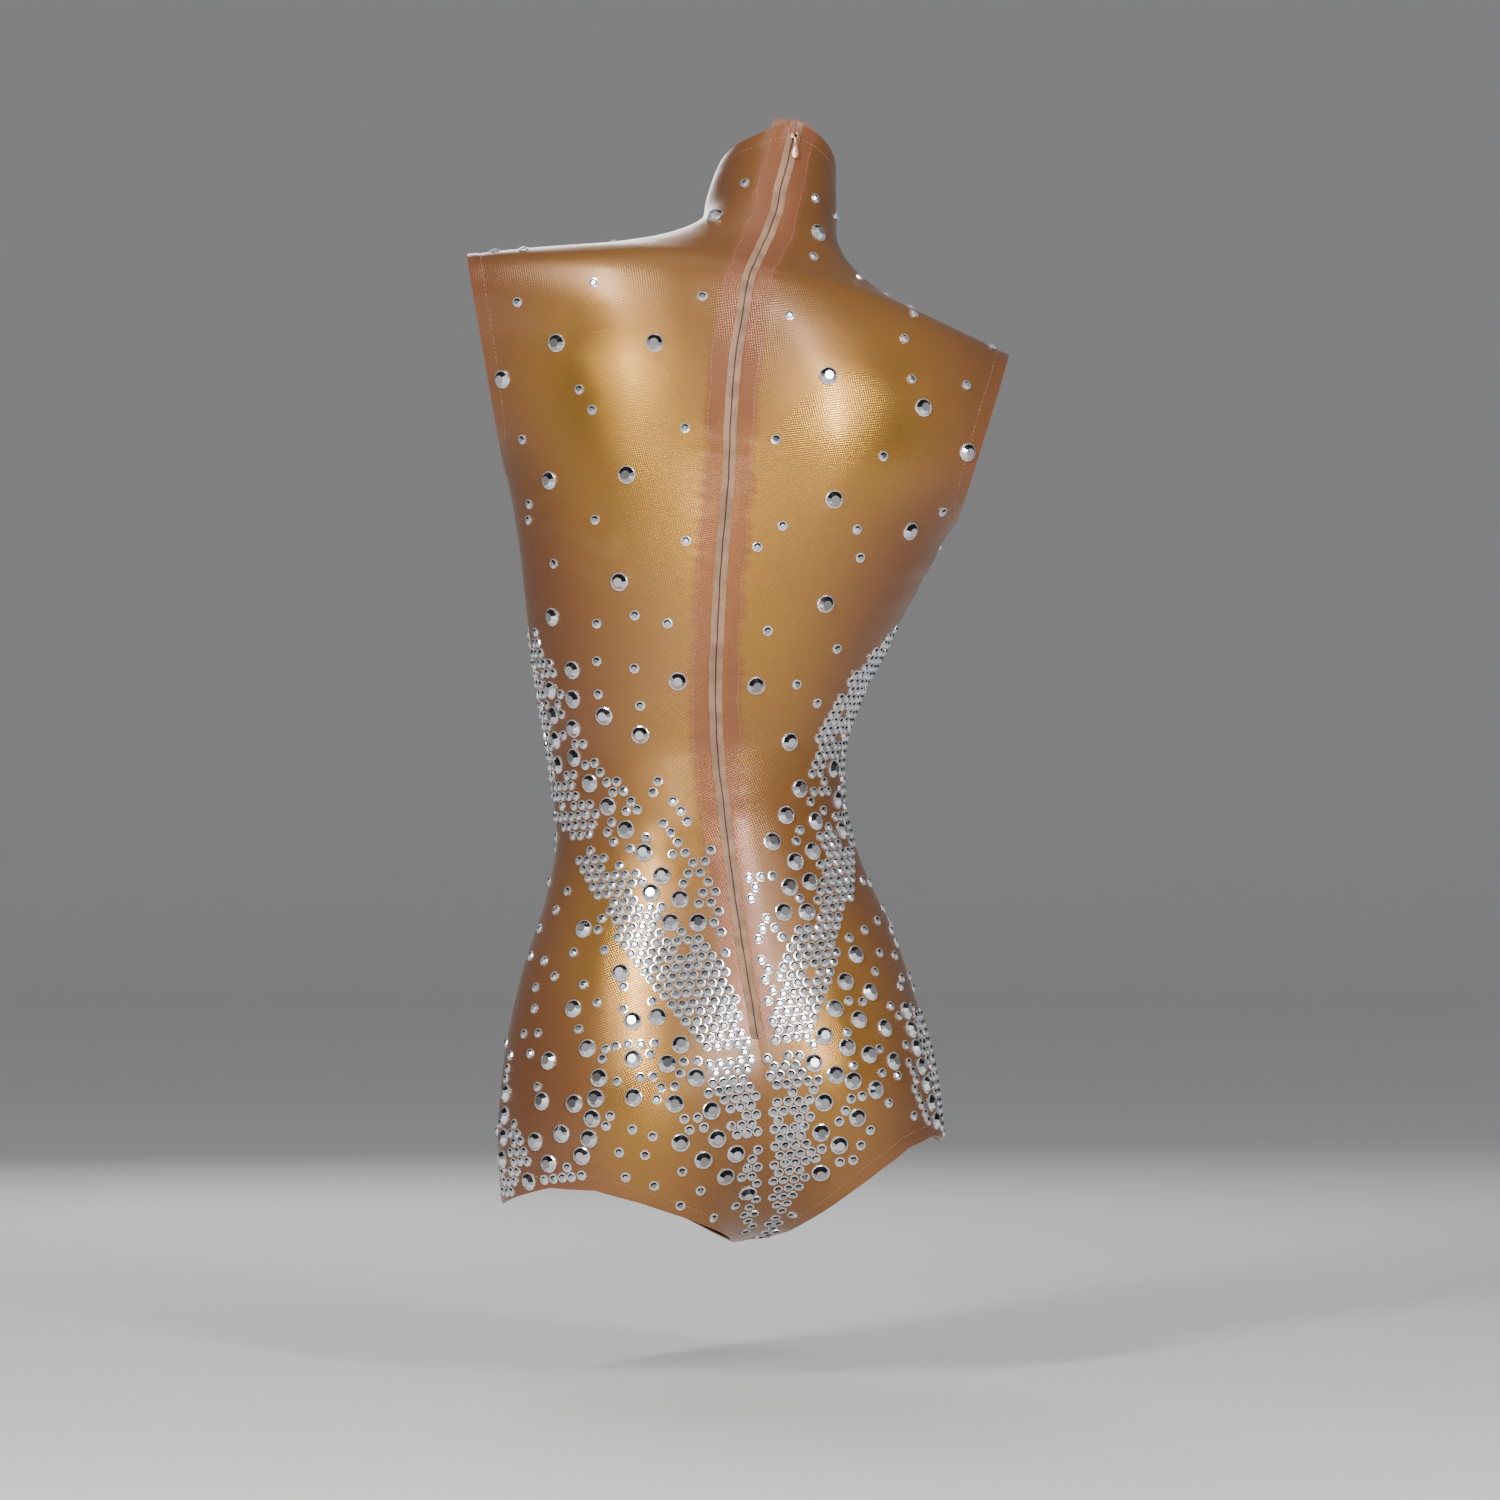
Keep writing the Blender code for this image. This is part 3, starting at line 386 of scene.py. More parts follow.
def front_loop():
    """The outline of the front on the laid out cloth, from the wearer's left shoulder round to the right."""
    middle, half_gap = 2 * QUARTER, SEAM_GAP / 2
    angles = np.linspace(QUARTER, 3 * QUARTER, 120)
    collar = moved(paced(angles, collar_edge(angles), EDGE_STEP), middle, 0)
    lines = [collar]
    for hand, order in ((-1, 1), (1, -1)):
        turn = np.array([2 * math.pi if hand < 0 else 0, 0])
        lifted = [line + turn for line in (SHOULDER_SEAMS[hand], SIDE_SEAMS[hand])]
        around = [armhole(hand, -1), leg_edge(hand, -1)]
        around = [line + turn if line[0, 0] < 0 else line for line in around]
        inward = hand * half_gap
        parts = [
            moved(lifted[0], middle, inward),
            moved(around[0], middle, 0),
            moved(lifted[1], middle, inward),
            moved(around[1], middle, 0),
        ]
        lines += parts if order > 0 else [part[::-1] for part in parts[::-1]]
        if order > 0:
            ends = np.array([(2 * QUARTER + CROTCH_ANGLE, FORM.length), (2 * QUARTER - CROTCH_ANGLE, FORM.length)])
            lines.append(moved(paced(ends[:, 0], ends[:, 1], EDGE_STEP), middle, 0))
    return joined(*lines)


AT_ONCE = 3000


def chunked(test):
    """The same test, run on a few thousand points at a time."""

    def whole(points, loop):
        return np.concatenate([test(points[k : k + AT_ONCE], loop) for k in range(0, len(points), AT_ONCE)])

    return whole


@chunked
def inside(points, loop):
    """Which points lie inside a closed loop."""
    start, end = loop, np.roll(loop, -1, axis=0)
    x, y = points[:, None, 0], points[:, None, 1]
    spans = (start[None, :, 1] > y) != (end[None, :, 1] > y)
    rise = np.where(end[:, 1] == start[:, 1], 1e-12, end[:, 1] - start[:, 1])
    meets = start[None, :, 0] + (y - start[None, :, 1]) / rise * (end[:, 0] - start[:, 0])
    return (spans & (x < meets)).sum(1) % 2 == 1


@chunked
def distance(points, loop):
    """How far each point lies from a closed loop."""
    start, end = loop, np.roll(loop, -1, axis=0)
    along = end - start
    share = ((points[:, None] - start) * along).sum(2) / np.maximum((along**2).sum(1), 1e-12)
    nearest = start + np.clip(share, 0, 1)[..., None] * along
    return np.linalg.norm(points[:, None] - nearest, axis=2).min(1)


def grid(loop, step):
    """Staggered points inside the loop, one step apart, kept well off its edge."""
    low, high = loop.min(0), loop.max(0)
    rows = np.arange(low[1], high[1], step * math.sin(math.radians(60)))
    columns = np.arange(low[0], high[0], step)
    x, y = np.meshgrid(columns, rows)
    x[::2] += step / 2
    points = np.stack([x.ravel(), y.ravel()], 1)
    points = points[inside(points, loop)]
    return points[distance(points, loop) > 0.5 * step]


def triangulate(points, edges, loop):
    """Triangles over the points that keep the given edges, inside the loop, each facing out of the body."""
    found = delaunay_2d_cdt([tuple(p / MM) for p in points], edges, [], 0, 1e-6, True)
    corners = found[3]
    if len(found[0]) != len(points):
        raise ValueError("an edge of the laid out cloth crosses another")
    triangles = np.array([[corners[v][0] for v in face[::-1]] for face in found[2]])
    return triangles[inside(points[triangles].mean(1), loop)]


def ring_edges(first, count):
    """The edges of a closed ring of points."""
    return [(first + k, first + (k + 1) % count) for k in range(count)]


# The cloth. Three panels of fine stretch mesh, each a thin wall on the worn form, with the soft pulls and hollows
# that tight cloth shows. Painted light: a golden highlight on the full parts, pinkish brown shade where it turns
# away.
CLOTH_INSIDE = 0.15 * MM
CLOTH_OUTSIDE = 0.95 * MM
# Each pull is a line seen from behind, from one side and height to another, then its reach and its depth, in mm.
CLOTH_PULLS = (
    (62, -430, 48, -446, 9, -1.4),
    (84, -418, 60, -432, 7, 0.8),
    (150, -196, 112, -214, 7, 0.9),
    (146, -214, 104, -240, 6, 0.8),
    (-118, -224, -82, -236, 6, 0.9),
    (-106, -246, -72, -254, 6, 0.7),
    (40, -690, 78, -662, 7, 1.1),
    (26, -684, 52, -640, 6, 0.8),
    (-12, -690, -48, -662, 7, 1.1),
    (0, -680, -26, -638, 6, 0.8),
    (196, -40, 150, -60, 8, 0.9),
    (-150, -96, -112, -104, 8, 0.9),
)


def relief(angle, run):
    """Metres outward: each pull is a soft ridge or trough along a line, strongest on the line itself."""
    points = FORM.at(angle, run)
    seen = points[:, [0, 2]] / MM
    lift = np.zeros(len(seen))
    for from_x, from_z, to_x, to_z, reach, depth in CLOTH_PULLS:
        start, along = np.array((from_x, from_z)), np.array((to_x - from_x, to_z - from_z))
        share = ((seen - start) @ along) / (along @ along)
        far = np.linalg.norm(seen - start - np.clip(share, 0, 1)[:, None] * along, axis=1)
        lift += depth * np.exp(-((far / reach) ** 2)) * (np.cos(angle) > -0.2)
    off_zip = np.abs(FORM.arc(angle, run) - FORM.arc(0, run)) / MM
    wave = np.sin(run / MM * 0.42 + 1.7 * np.sin(run / MM * 0.11)) * np.sin(run / MM * 0.071 + 0.6)
    lift += 0.28 * wave * np.exp(-(((off_zip - 15) / 8) ** 2)) * (run < FORM.run_at(ZIP_FOOT))
    return lift * MM


def shaded(name, points, faces, material, sharp=math.radians(50)):
    """A smooth mesh object with its edges kept sharp where the cloth turns over its rim."""
    mesh = bpy.data.meshes.new(name)
    mesh.from_pydata(np.asarray(points).tolist(), [], faces if isinstance(faces, list) else faces.tolist())
    mesh.materials.append(material)
    mesh.shade_smooth()
    mesh.set_sharp_from_angle(angle=sharp)
    thing = bpy.data.objects.new(name, mesh)
    bpy.context.scene.collection.objects.link(thing)
    return thing


def closed_wall(low, high, faces):
    """Points and faces of a wall between two sheets of the same triangles, closed round the rim."""
    edges = np.concatenate([faces[:, [0, 1]], faces[:, [1, 2]], faces[:, [2, 0]]])
    keys, back = edges[:, 0] * len(low) + edges[:, 1], edges[:, 1] * len(low) + edges[:, 0]
    rim = edges[~np.isin(keys, back)]
    a, b = rim[:, 0], rim[:, 1]
    shift = len(low)
    sides = np.concatenate([np.stack([b + shift, a + shift, a], 1), np.stack([b + shift, a, b], 1)])
    return np.concatenate([low, high]), np.concatenate([faces[:, ::-1], faces + shift, sides])


def nodes_of(name):
    """A new material with its nodes, its links and its shader."""
    material = bpy.data.materials.new(name)
    material.use_nodes = True
    tree = material.node_tree
    return material, tree.nodes, tree.links, tree.nodes["Principled BSDF"]


def mixed(nodes, links, factor, one, two):
    """A colour between two colours or sockets, by a factor socket."""
    mix = nodes.new("ShaderNodeMix")
    mix.data_type = "RGBA"
    links.new(factor, mix.inputs["Factor"])
    for socket, value in ((mix.inputs["A"], one), (mix.inputs["B"], two)):
        if hasattr(value, "node"):
            links.new(value, socket)
        else:
            socket.default_value = (*value, 1)
    return mix.outputs["Result"]


def attribute(nodes, name):
    """The value of a mesh attribute."""
    read = nodes.new("ShaderNodeAttribute")
    read.attribute_name = name
    return read.outputs["Fac"]


def ranged(nodes, links, value, low, high, to_low=0.0, to_high=1.0):
    """A value spread from one range to another."""
    spread = nodes.new("ShaderNodeMapRange")
    spread.interpolation_type = "SMOOTHSTEP"
    links.new(value, spread.inputs["Value"])
    for key, number in (("From Min", low), ("From Max", high), ("To Min", to_low), ("To Max", to_high)):
        spread.inputs[key].default_value = number
    return spread.outputs["Result"]


def knit(nodes, links, scale, strength, shader):
    """Fine crossed loops in the cloth's own UV map, as bump: the product of two waves a quarter turn apart."""
    uv = nodes.new("ShaderNodeUVMap")
    waves = []
    for turn in (0.0, QUARTER):
        mapping = nodes.new("ShaderNodeMapping")
        mapping.inputs["Rotation"].default_value[2] = turn + 0.3
        wave = nodes.new("ShaderNodeTexWave")
        wave.inputs["Scale"].default_value = scale
        wave.inputs["Distortion"].default_value = 0.6
        links.new(uv.outputs["UV"], mapping.inputs["Vector"])
        links.new(mapping.outputs["Vector"], wave.inputs["Vector"])
        waves.append(wave.outputs["Fac"])
    product = nodes.new("ShaderNodeMath")
    product.operation = "MULTIPLY"
    links.new(waves[0], product.inputs[0])
    links.new(waves[1], product.inputs[1])
    bump = nodes.new("ShaderNodeBump")
    bump.inputs["Strength"].default_value = strength
    bump.inputs["Distance"].default_value = 0.0003
    links.new(product.outputs["Value"], bump.inputs["Height"])
    links.new(bump.outputs["Normal"], shader.inputs["Normal"])
    return product.outputs["Value"]


GOLD = (0.66, 0.335, 0.056)
TAN = (0.235, 0.096, 0.024)
BROWN = (0.185, 0.070, 0.031)
PINK = (0.30, 0.108, 0.050)
# Dark brown painted into the knit's hollows as shade.
PAINTED_GAP_SHADE = (0.17, 0.085, 0.040)

cloth, nodes, links, shader = nodes_of("nude_mesh")
noise = nodes.new("ShaderNodeTexNoise")
noise.inputs["Scale"].default_value = 14
noise.inputs["Detail"].default_value = 3
where = nodes.new("ShaderNodeTexCoord")
links.new(where.outputs["Object"], noise.inputs["Vector"])
weave = knit(nodes, links, 190, 0.35, shader)
# Painted shade: tan where the cloth faces square on, pinkish brown where it turns away round the sides.
body = mixed(nodes, links, attribute(nodes, "painted_facing_light"), BROWN, TAN)
# Painted golden highlight over the full parts that face the light, partly the gold that shows through the mesh
# there.
body = mixed(nodes, links, attribute(nodes, "gold_and_painted_highlight"), body, GOLD)
mottled = mixed(nodes, links, ranged(nodes, links, noise.outputs["Fac"], 0.35, 0.8, 0.0, 0.16), body, BROWN)
# Painted shade in the hollows between the knit's loops, darkest where the weave's bump is lowest.
gap_shaded = mixed(nodes, links, ranged(nodes, links, weave, 0.2, 0.9, 0.16, 0.0), mottled, PAINTED_GAP_SHADE)
hemmed = mixed(nodes, links, attribute(nodes, "band"), gap_shaded, PINK)
links.new(hemmed, shader.inputs["Base Color"])
links.new(ranged(nodes, links, noise.outputs["Fac"], 0.3, 0.7, 0.20, 0.27), shader.inputs["Roughness"])
# The painted highlight's mask also makes the cloth more metallic there.
links.new(ranged(nodes, links, attribute(nodes, "gold_and_painted_highlight"), 0.0, 0.9, 0.25, 0.92), shader.inputs["Metallic"])
shader.inputs["Coat Weight"].default_value = 0.14
shader.inputs["Coat Roughness"].default_value = 0.2
shader.inputs["Sheen Weight"].default_value = 0.04
shader.inputs["Sheen Roughness"].default_value = 0.4
shader.inputs["Sheen Tint"].default_value = (0.9, 0.62, 0.40, 1)
shader.inputs["Specular IOR Level"].default_value = 0.5

# Painted golden highlight where the gold shows through most: full places facing the light, as seen from behind, in
# mm.
GOLD_HIGHLIGHT_SPREADS = (
    (110, -105, 60, 70, 0.8),
    (-60, -130, 60, 60, 0.8),
    (40, -190, 75, 60, 0.75),
    (20, -290, 60, 70, 0.5),
    (60, -400, 40, 70, 0.45),
    (110, -490, 36, 60, 0.8),
    (90, -600, 34, 66, 0.7),
    (-45, -560, 34, 70, 0.6),
)
# The turned-in hems: how deep, how much thicker the doubled cloth is, and how far the stitch line sinks.
HEM_DEEP = 10 * MM
HEM_THICK = 0.45 * MM
HEM_SUNK = 0.35 * MM
SEAM_SUNK = 0.30 * MM
ZIP_BAND = 17.5 * MM
PATCH = ((18, 0), (33, 29))


def near_line(flat, lines):
    """How far each point of the laid out cloth lies from the nearest of some open lines."""
    dense = []
    for line in lines:
        far = np.concatenate([[0], np.cumsum(np.linalg.norm(np.diff(line, axis=0), axis=1))])
        places = np.linspace(0, far[-1], int(far[-1] / MM) + 2)
        dense.append(np.stack([np.interp(places, far, line[:, k]) for k in (0, 1)], 1))
    dense = np.concatenate(dense)
    chunks = [flat[k : k + 1500] for k in range(0, len(flat), 1500)]
    return np.concatenate([np.sqrt(((c[:, None] - dense) ** 2).sum(2).min(1)) for c in chunks])


def band_edge(run):
    """Half the width of the band behind the zip, whose cut edge wanders a little."""
    return ZIP_BAND + (0.7 * np.sin(run / MM * 0.13) + 0.5 * np.sin(run / MM * 0.047 + 2)) * MM


def cloth_lift(flat, angle, run, hems, seams):
    """Metres outward of the cloth's face: pulls, doubled hems with a sunk stitch line, and sunk seams."""
    from_hem = near_line(flat, hems)
    hem = HEM_THICK * (1 - eased((from_hem - HEM_DEEP + 1.5 * MM) / (1.5 * MM)))
    line = HEM_SUNK * np.exp(-(((from_hem - HEM_DEEP) / (1.4 * MM)) ** 2))
    seam = SEAM_SUNK * np.exp(-((near_line(flat, seams) / (2.2 * MM)) ** 2))
    off_zip = np.abs(FORM.arc(angle, run) - FORM.arc(0, run))
    ridge = 0.3 * MM * np.exp(-(((off_zip - band_edge(run)) / (1.6 * MM)) ** 2)) * (run < FORM.run_at(ZIP_FOOT))
    return relief(angle, run) + hem - line - seam + ridge


def cloth_panel(name, node, loop, middle, face, hems, seams):
    """A thin closed wall on the form, with its laid out place as UV and its colour zones as attributes."""
    flat = np.concatenate([loop, grid(loop, MESH_STEP)])
    faces = triangulate(flat, ring_edges(0, len(loop)), loop)
    angle, run = FORM.worn(flat, middle)
    base, normal = FORM.at(angle, run), FORM.normal(angle, run)
    lift = cloth_lift(flat, angle, run, hems, seams)
    low = base + normal * (CLOTH_INSIDE + np.minimum(lift, relief(angle, run)))[:, None]
    high = base + normal * (CLOTH_OUTSIDE + lift)[:, None]
    seam_side = FORM.columns[2][-1] + face * SEAM_GAP / 2
    at_crotch = flat[:, 1] < -FORM.length + 0.01 * MM
    for sheet in (low, high):
        short = at_crotch & (face * (sheet[:, 1] - seam_side) < 0)
        sheet[short, 1] = seam_side
    points, triangles = closed_wall(low, high, faces)
    panel = shaded(name, points, triangles, cloth)
    mesh = panel.data
    uv = mesh.uv_layers.new(name="UVMap")
    corners = np.zeros(len(mesh.loops), np.int32)
    mesh.loops.foreach_get("vertex_index", corners)
    uv.data.foreach_set("uv", np.concatenate([flat, flat])[corners].ravel())
    # Painted shade: 1 on the middle of each face, falling towards the sides where the cloth turns away from the
    # light.
    painted_facing_light = 1 - 0.85 * eased((np.abs(np.sin(angle)) - 0.45) / 0.5)
    # Painted golden highlight, weaker towards the sides where the cloth turns away.
    gold_and_painted_highlight = np.zeros(len(flat))
    for side, level, wide, tall, strength in GOLD_HIGHLIGHT_SPREADS:
        across, up = (base[:, 0] / MM - side) / wide, (base[:, 2] / MM - level) / tall
        gold_and_painted_highlight += strength * np.exp(-(across**2) - up**2)
    gold_and_painted_highlight = np.clip(gold_and_painted_highlight, 0, 1) * (0.35 + 0.65 * painted_facing_light)
    off_zip = FORM.arc(angle, run) - FORM.arc(0, run)
    band = 1 - eased((np.abs(off_zip) - band_edge(run)) / (1.2 * MM) + 0.5)
    band *= (face > 0) * (run < FORM.run_at(ZIP_FOOT) + 3 * MM) * 0.85
    (near, foot), (far, top) = PATCH
    inside_patch = (off_zip - near * MM, far * MM - off_zip, base[:, 2] - foot * MM, top * MM - base[:, 2])
    inset = np.minimum.reduce(inside_patch)
    band = np.maximum(band, 0.3 * (face > 0) * eased(inset / (2 * MM) + 0.5))
    band = np.maximum(band, 0.35 * np.exp(-((near_line(flat, hems) / (6 * MM)) ** 2)))
    for label, values in (("painted_facing_light", painted_facing_light), ("gold_and_painted_highlight", gold_and_painted_highlight), ("band", band)):
        layer = mesh.attributes.new(label, "FLOAT", "POINT")
        layer.data.foreach_set("value", np.concatenate([values, values]).astype(np.float32))
    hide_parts(node)
    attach(panel, "garment")
    return panel


def collar_line(first, last, middle):
    """The collar's top edge between two angles, on the laid out cloth."""
    angles = np.linspace(first, last, 120)
    return moved(paced(angles, collar_edge(angles), EDGE_STEP), middle, 0)


turn_over = np.array([2 * math.pi, 0])
front_hems = [collar_line(QUARTER, 3 * QUARTER, 2 * QUARTER)]
front_seams = []
for hand in (1, -1):
    hems = [(line, front_hems) for line in (armhole(hand, -1), leg_edge(hand, -1))]
    for line, into in hems + [(line, front_seams) for line in (SHOULDER_SEAMS[hand], SIDE_SEAMS[hand])]:
        into.append(moved(line + turn_over if line[0, 0] < 0 else line, 2 * QUARTER, 0))
cloths = [cloth_panel("front_cloth", "front_panel", front_loop(), 2 * QUARTER, -1, front_hems, front_seams)]
back_hems = {}
for hand, label in ((1, "left"), (-1, "right")):
    back_hems[hand] = [collar_line(0, hand * QUARTER, 0)]
    back_hems[hand] += [moved(line, 0, 0) for line in (armhole(hand, 1), leg_edge(hand, 1))]
    back_seams = [moved(SHOULDER_SEAMS[hand], 0, 0), moved(SIDE_SEAMS[hand], 0, 0), moved(CENTRE_SEAM, 0, 0)]
    node = f"back_panel_{label}"
    cloths.append(cloth_panel(f"back_cloth_{label}", node, back_loop(hand), 0, 1, back_hems[hand], back_seams))


# The stones. Cut glass in silver settings, glued on by hand: large ones singly and in lines, small ones packed in
# bands that cross the back and scattered between them.
STONE_WIDTH = 13 * MM
STONE_MARGIN = 1 * MM
STONES = (
    (1, 38, 15), (1, -33, 4), (1, 148, -74), (1, 80, -75), (1, 186, -98), (1, -40, -98), (1, -106, -119),
    (1, -137, -149), (1, 153, -169), (1, 99, -166), (1, -44, -183), (1, -97, -204), (1, 104, -240), (1, -38, -255),
    (1, 151, -264), (1, 64, -309), (1, 10, -312), (1, 90, -346), (1, 115, -333), (1, -13, -351), (1, 137, -301),
    (-1, 40, -8), (-1, -34, -22), (-1, 140, -92), (-1, 70, -88), (-1, -6, -70), (-1, -70, -108), (-1, -118, -140),
    (-1, 168, -140), (-1, 108, -166), (-1, 34, -150), (-1, -36, -176), (-1, -92, -210), (-1, 142, -226),
    (-1, 66, -232), (-1, -8, -240), (-1, 108, -292), (-1, 30, -300), (-1, -46, -282), (-1, 68, -352),
    (-1, -4, -362),
)

# Stones that follow one another in a line. Each row gives the face, the places of the first and the last stone
# seen from behind, in mm, and how many there are.
STONE_LINES = (
    (1, 137, -301, 136, -362, 4),
    (1, 152, -315, 147, -367, 4),
    (1, 125, -380, 50, -477, 7),
    (1, 96, -436, 69, -477, 3),
    (1, 129, -482, 78, -542, 3),
    (1, 136, -537, 126, -564, 2),
    (1, 95, -545, 94, -597, 3),
    (1, 71, -574, 66, -601, 2),
    (1, 62, -561, 41, -606, 3),
    (1, 50, -615, 24, -636, 3),
    (1, 62, -628, 16, -664, 4),
    (1, 118, -584, 125, -626, 4),
    (1, 130, -638, 151, -663, 4),
    (1, 162, -667, 178, -675, 3),
    (1, 183, -597, 186, -658, 5),
    (1, 153, -573, 167, -657, 4),
    (1, 135, -602, 153, -644, 3),
    (1, -20, -384, -1, -421, 3),
    (1, -17, -435, -9, -470, 3),
    (1, -31, -407, -25, -470, 4),
    (1, -43, -370, -49, -414, 3),
    (1, -59, -500, -30, -574, 5),
    (1, -69, -526, -37, -601, 5),
    (1, -79, -551, -35, -622, 5),
    (1, -85, -574, -35, -650, 5),
    (1, -94, -540, -115, -617, 7),
)

# Small stones set one by one, as side and height in mm, and the filled zones: the face, the spacing, the share of
# places that are used, and the zone's outline as seen from behind.
SMALL_STONES = (
    (17, 39), (-31, 29), (-48, 26), (181, -7), (117, -2), (78, -2), (175, -45), (122, -33), (47, -43), (-13, -56),
    (-62, -27), (-94, -43), (-150, -69), (-93, -71), (-136, -103), (123, -121), (59, -134), (172, -140), (-4, -142),
    (-78, -153), (121, -197), (58, -212), (168, -196), (9, -216), (-62, -223), (-120, -190), (150, -227), (2, -274),
    (120, -269), (71, -269), (120, -295), (94, -300), (119, -318), (90, -326), (-46, -286), (-18, -311),
)
ZONES = (
    (1, 7.4, 0.97, ((136, -434), (126, -426), (102, -435), (76, -455), (49, -479), (29, -514), (16, -546),
                    (11, -564), (46, -564), (58, -547), (80, -522), (100, -496), (118, -469), (130, -449))),
    (1, 7.4, 0.97, ((-57, -392), (-58, -432), (-56, -459), (-50, -472), (-47, -493), (-42, -517), (-37, -537),
                    (-34, -560), (1, -564), (-1, -539), (-8, -507), (-21, -479), (-29, -448), (-34, -413))),
    (1, 7.4, 0.93, ((46, -564), (-34, -557), (-41, -588), (-39, -623), (-34, -648), (-21, -665), (-10, -682),
                    (-1, -700), (18, -700), (20, -682), (24, -658), (34, -637), (41, -602))),
    (1, 8.0, 0.85, ((165, -270), (139, -322), (119, -364), (91, -392), (84, -427), (126, -427), (165, -392))),
    (1, 8.0, 0.85, ((-90, -266), (-69, -322), (-57, -364), (-57, -427), (-36, -434), (-21, -392), (-31, -350),
                    (-49, -315))),
    (1, 7.6, 0.9, ((200, -575), (186, -598), (175, -623), (158, -651), (136, -662), (152, -669), (178, -680),
                   (200, -672))),
    (1, 7.6, 0.9, ((-94, -532), (-108, -546), (-140, -588), (-140, -637), (-111, -629), (-99, -595), (-91, -560))),
    (1, 7.6, 0.93, ((131, -560), (110, -560), (108, -610), (118, -640), (140, -665), (150, -678), (205, -685),
                    (205, -645), (170, -645), (145, -645), (127, -610))),
    (1, 7.8, 0.85, ((215, -560), (184, -560), (180, -600), (178, -650), (215, -650))),
    (1, 9.0, 0.7, ((110, -560), (40, -560), (30, -640), (75, -600))),
    (1, 9.0, 0.7, ((-35, -560), (-80, -575), (-60, -640), (-38, -655))),
    (1, 8.6, 0.66, ((88, -352), (62, -398), (34, -432), (12, -446), (-8, -440), (-26, -400), (-44, -352),
                    (-28, -450), (-8, -507), (8, -560), (30, -510), (76, -450))),
    (1, 20, 0.8, ((200, -440), (-140, -440), (-140, -700), (200, -700))),
    (1, 62, 0.4, ((210, 40), (-170, 40), (-170, -330), (210, -330))),
    (-1, 22, 0.75, ((200, -330), (-140, -330), (-140, -700), (200, -700))),
    (-1, 34, 0.7, ((215, 45), (-170, 45), (-170, -330), (215, -330))),
    (-1, 8.0, 0.8, ((170, -270), (128, -330), (110, -390), (130, -440), (170, -400))),
    (-1, 8.0, 0.8, ((-95, -266), (-45, -330), (-30, -390), (-40, -440), (-70, -427))),
)
SMALL_WIDTH = 7.5 * MM
STONE_GAP = 0.25 * MM
# How near the zip's middle a stone may lie, and the height below which the zip's bands are set with stones too.
LIP_REACH = 9 * MM
BAND_SET = -385 * MM
BARE_COLLAR = 14 * MM
WIDE_SPACING = 12
LATEST = 400
# Half width and height of each ring of a stone's cut, in parts of its half width, and how bright each ring of
# facets is below and above the stone's middle: rim, inner lip, crown, table. Crown and table are painted
# reflections.
LARGE_CUT = ((1.0, 0.0), (1.0, 0.17), (0.88, 0.24), (0.86, 0.20), (0.48, 0.64))
SMALL_CUT = ((1.0, 0.0), (0.96, 0.26), (0.74, 0.28), (0.40, 0.52))
SILVER, LIT, DARK, TABLE = 0.86, 0.95, 0.015, 0.42


def cut_stone(cut, sides, rims):
    """Points, facets, table and brightness of a stone: rings of points, each joined to the next, and a flat top."""
    turns = np.arange(sides) * 2 * math.pi / sides + math.pi / sides
    points = np.array([(r * math.cos(t), r * math.sin(t), h) for r, h in cut for t in turns])
    ring, side = np.meshgrid(np.arange(len(cut) - 1), np.arange(sides), indexing="ij")
    a, b = (ring * sides + side).ravel(), (ring * sides + (side + 1) % sides).ravel()
    facets = np.stack([a, b, b + sides, a + sides], 1)
    # Painted reflections: crown facets turned up are painted dark, those turned down lit, the rest in two greys.
    upward = np.sin(turns + math.pi / sides)[side.ravel()]
    crown = np.where(upward > 0.35, DARK, np.where(upward < -0.3, LIT, 0.3 + 0.3 * (side.ravel() % 2)))
    shade = np.where(ring.ravel() < rims, SILVER, crown)
    return points, facets, np.arange(len(points) - sides, len(points)), shade


def set_stones(name, angle, run, width, shape, material, rng):
    """Copies of one cut on the cloth: its points times the cloth's own right, up and outward directions there."""
    points, facets, table, shade = shape
    normal = FORM.normal(angle, run)
    right = FORM.at(angle + 0.002, run) - FORM.at(angle - 0.002, run)
    right /= np.linalg.norm(right, axis=1, keepdims=True)
    axes = np.stack([right, np.cross(normal, right), normal], 1)
    axes[:, 1] *= np.sign(axes[:, 1, 2])[:, None]
    spin = rng.normal(0, 0.25, len(angle))
    flat = points[:, :2] * width / 2
    x = flat[:, 0] * np.cos(spin)[:, None] - flat[:, 1] * np.sin(spin)[:, None]
    y = flat[:, 0] * np.sin(spin)[:, None] + flat[:, 1] * np.cos(spin)[:, None]
    z = np.broadcast_to(points[:, 2] * width / 2, x.shape)
    foot = FORM.at(angle, run) + normal * (CLOTH_OUTSIDE + relief(angle, run) - 0.1 * MM)[:, None]
    placed = foot[:, None] + np.stack([x, y, z], 2) @ axes
    shift = (np.arange(len(angle)) * len(points))[:, None, None]
    around = (facets[None] + shift).reshape(-1, 4).tolist()
    tops = (table[None] + shift[:, 0]).tolist()
    stones = shaded(name, placed.reshape(-1, 3), around + tops, material, 0.0)
    # Painted reflections: each facet's painted brightness with a random spread, and a random one on each table.
    light = np.clip(shade[None] * rng.uniform(0.8, 1.1, (len(angle), len(facets))), 0, 1)
    top = TABLE * rng.uniform(0.5, 1.7, len(angle))
    layer = stones.data.attributes.new("silver_and_painted_glint", "FLOAT", "FACE")
    layer.data.foreach_set("value", np.concatenate([light.ravel(), top]).astype(np.float32))
    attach(stones, "garment")
    return stones


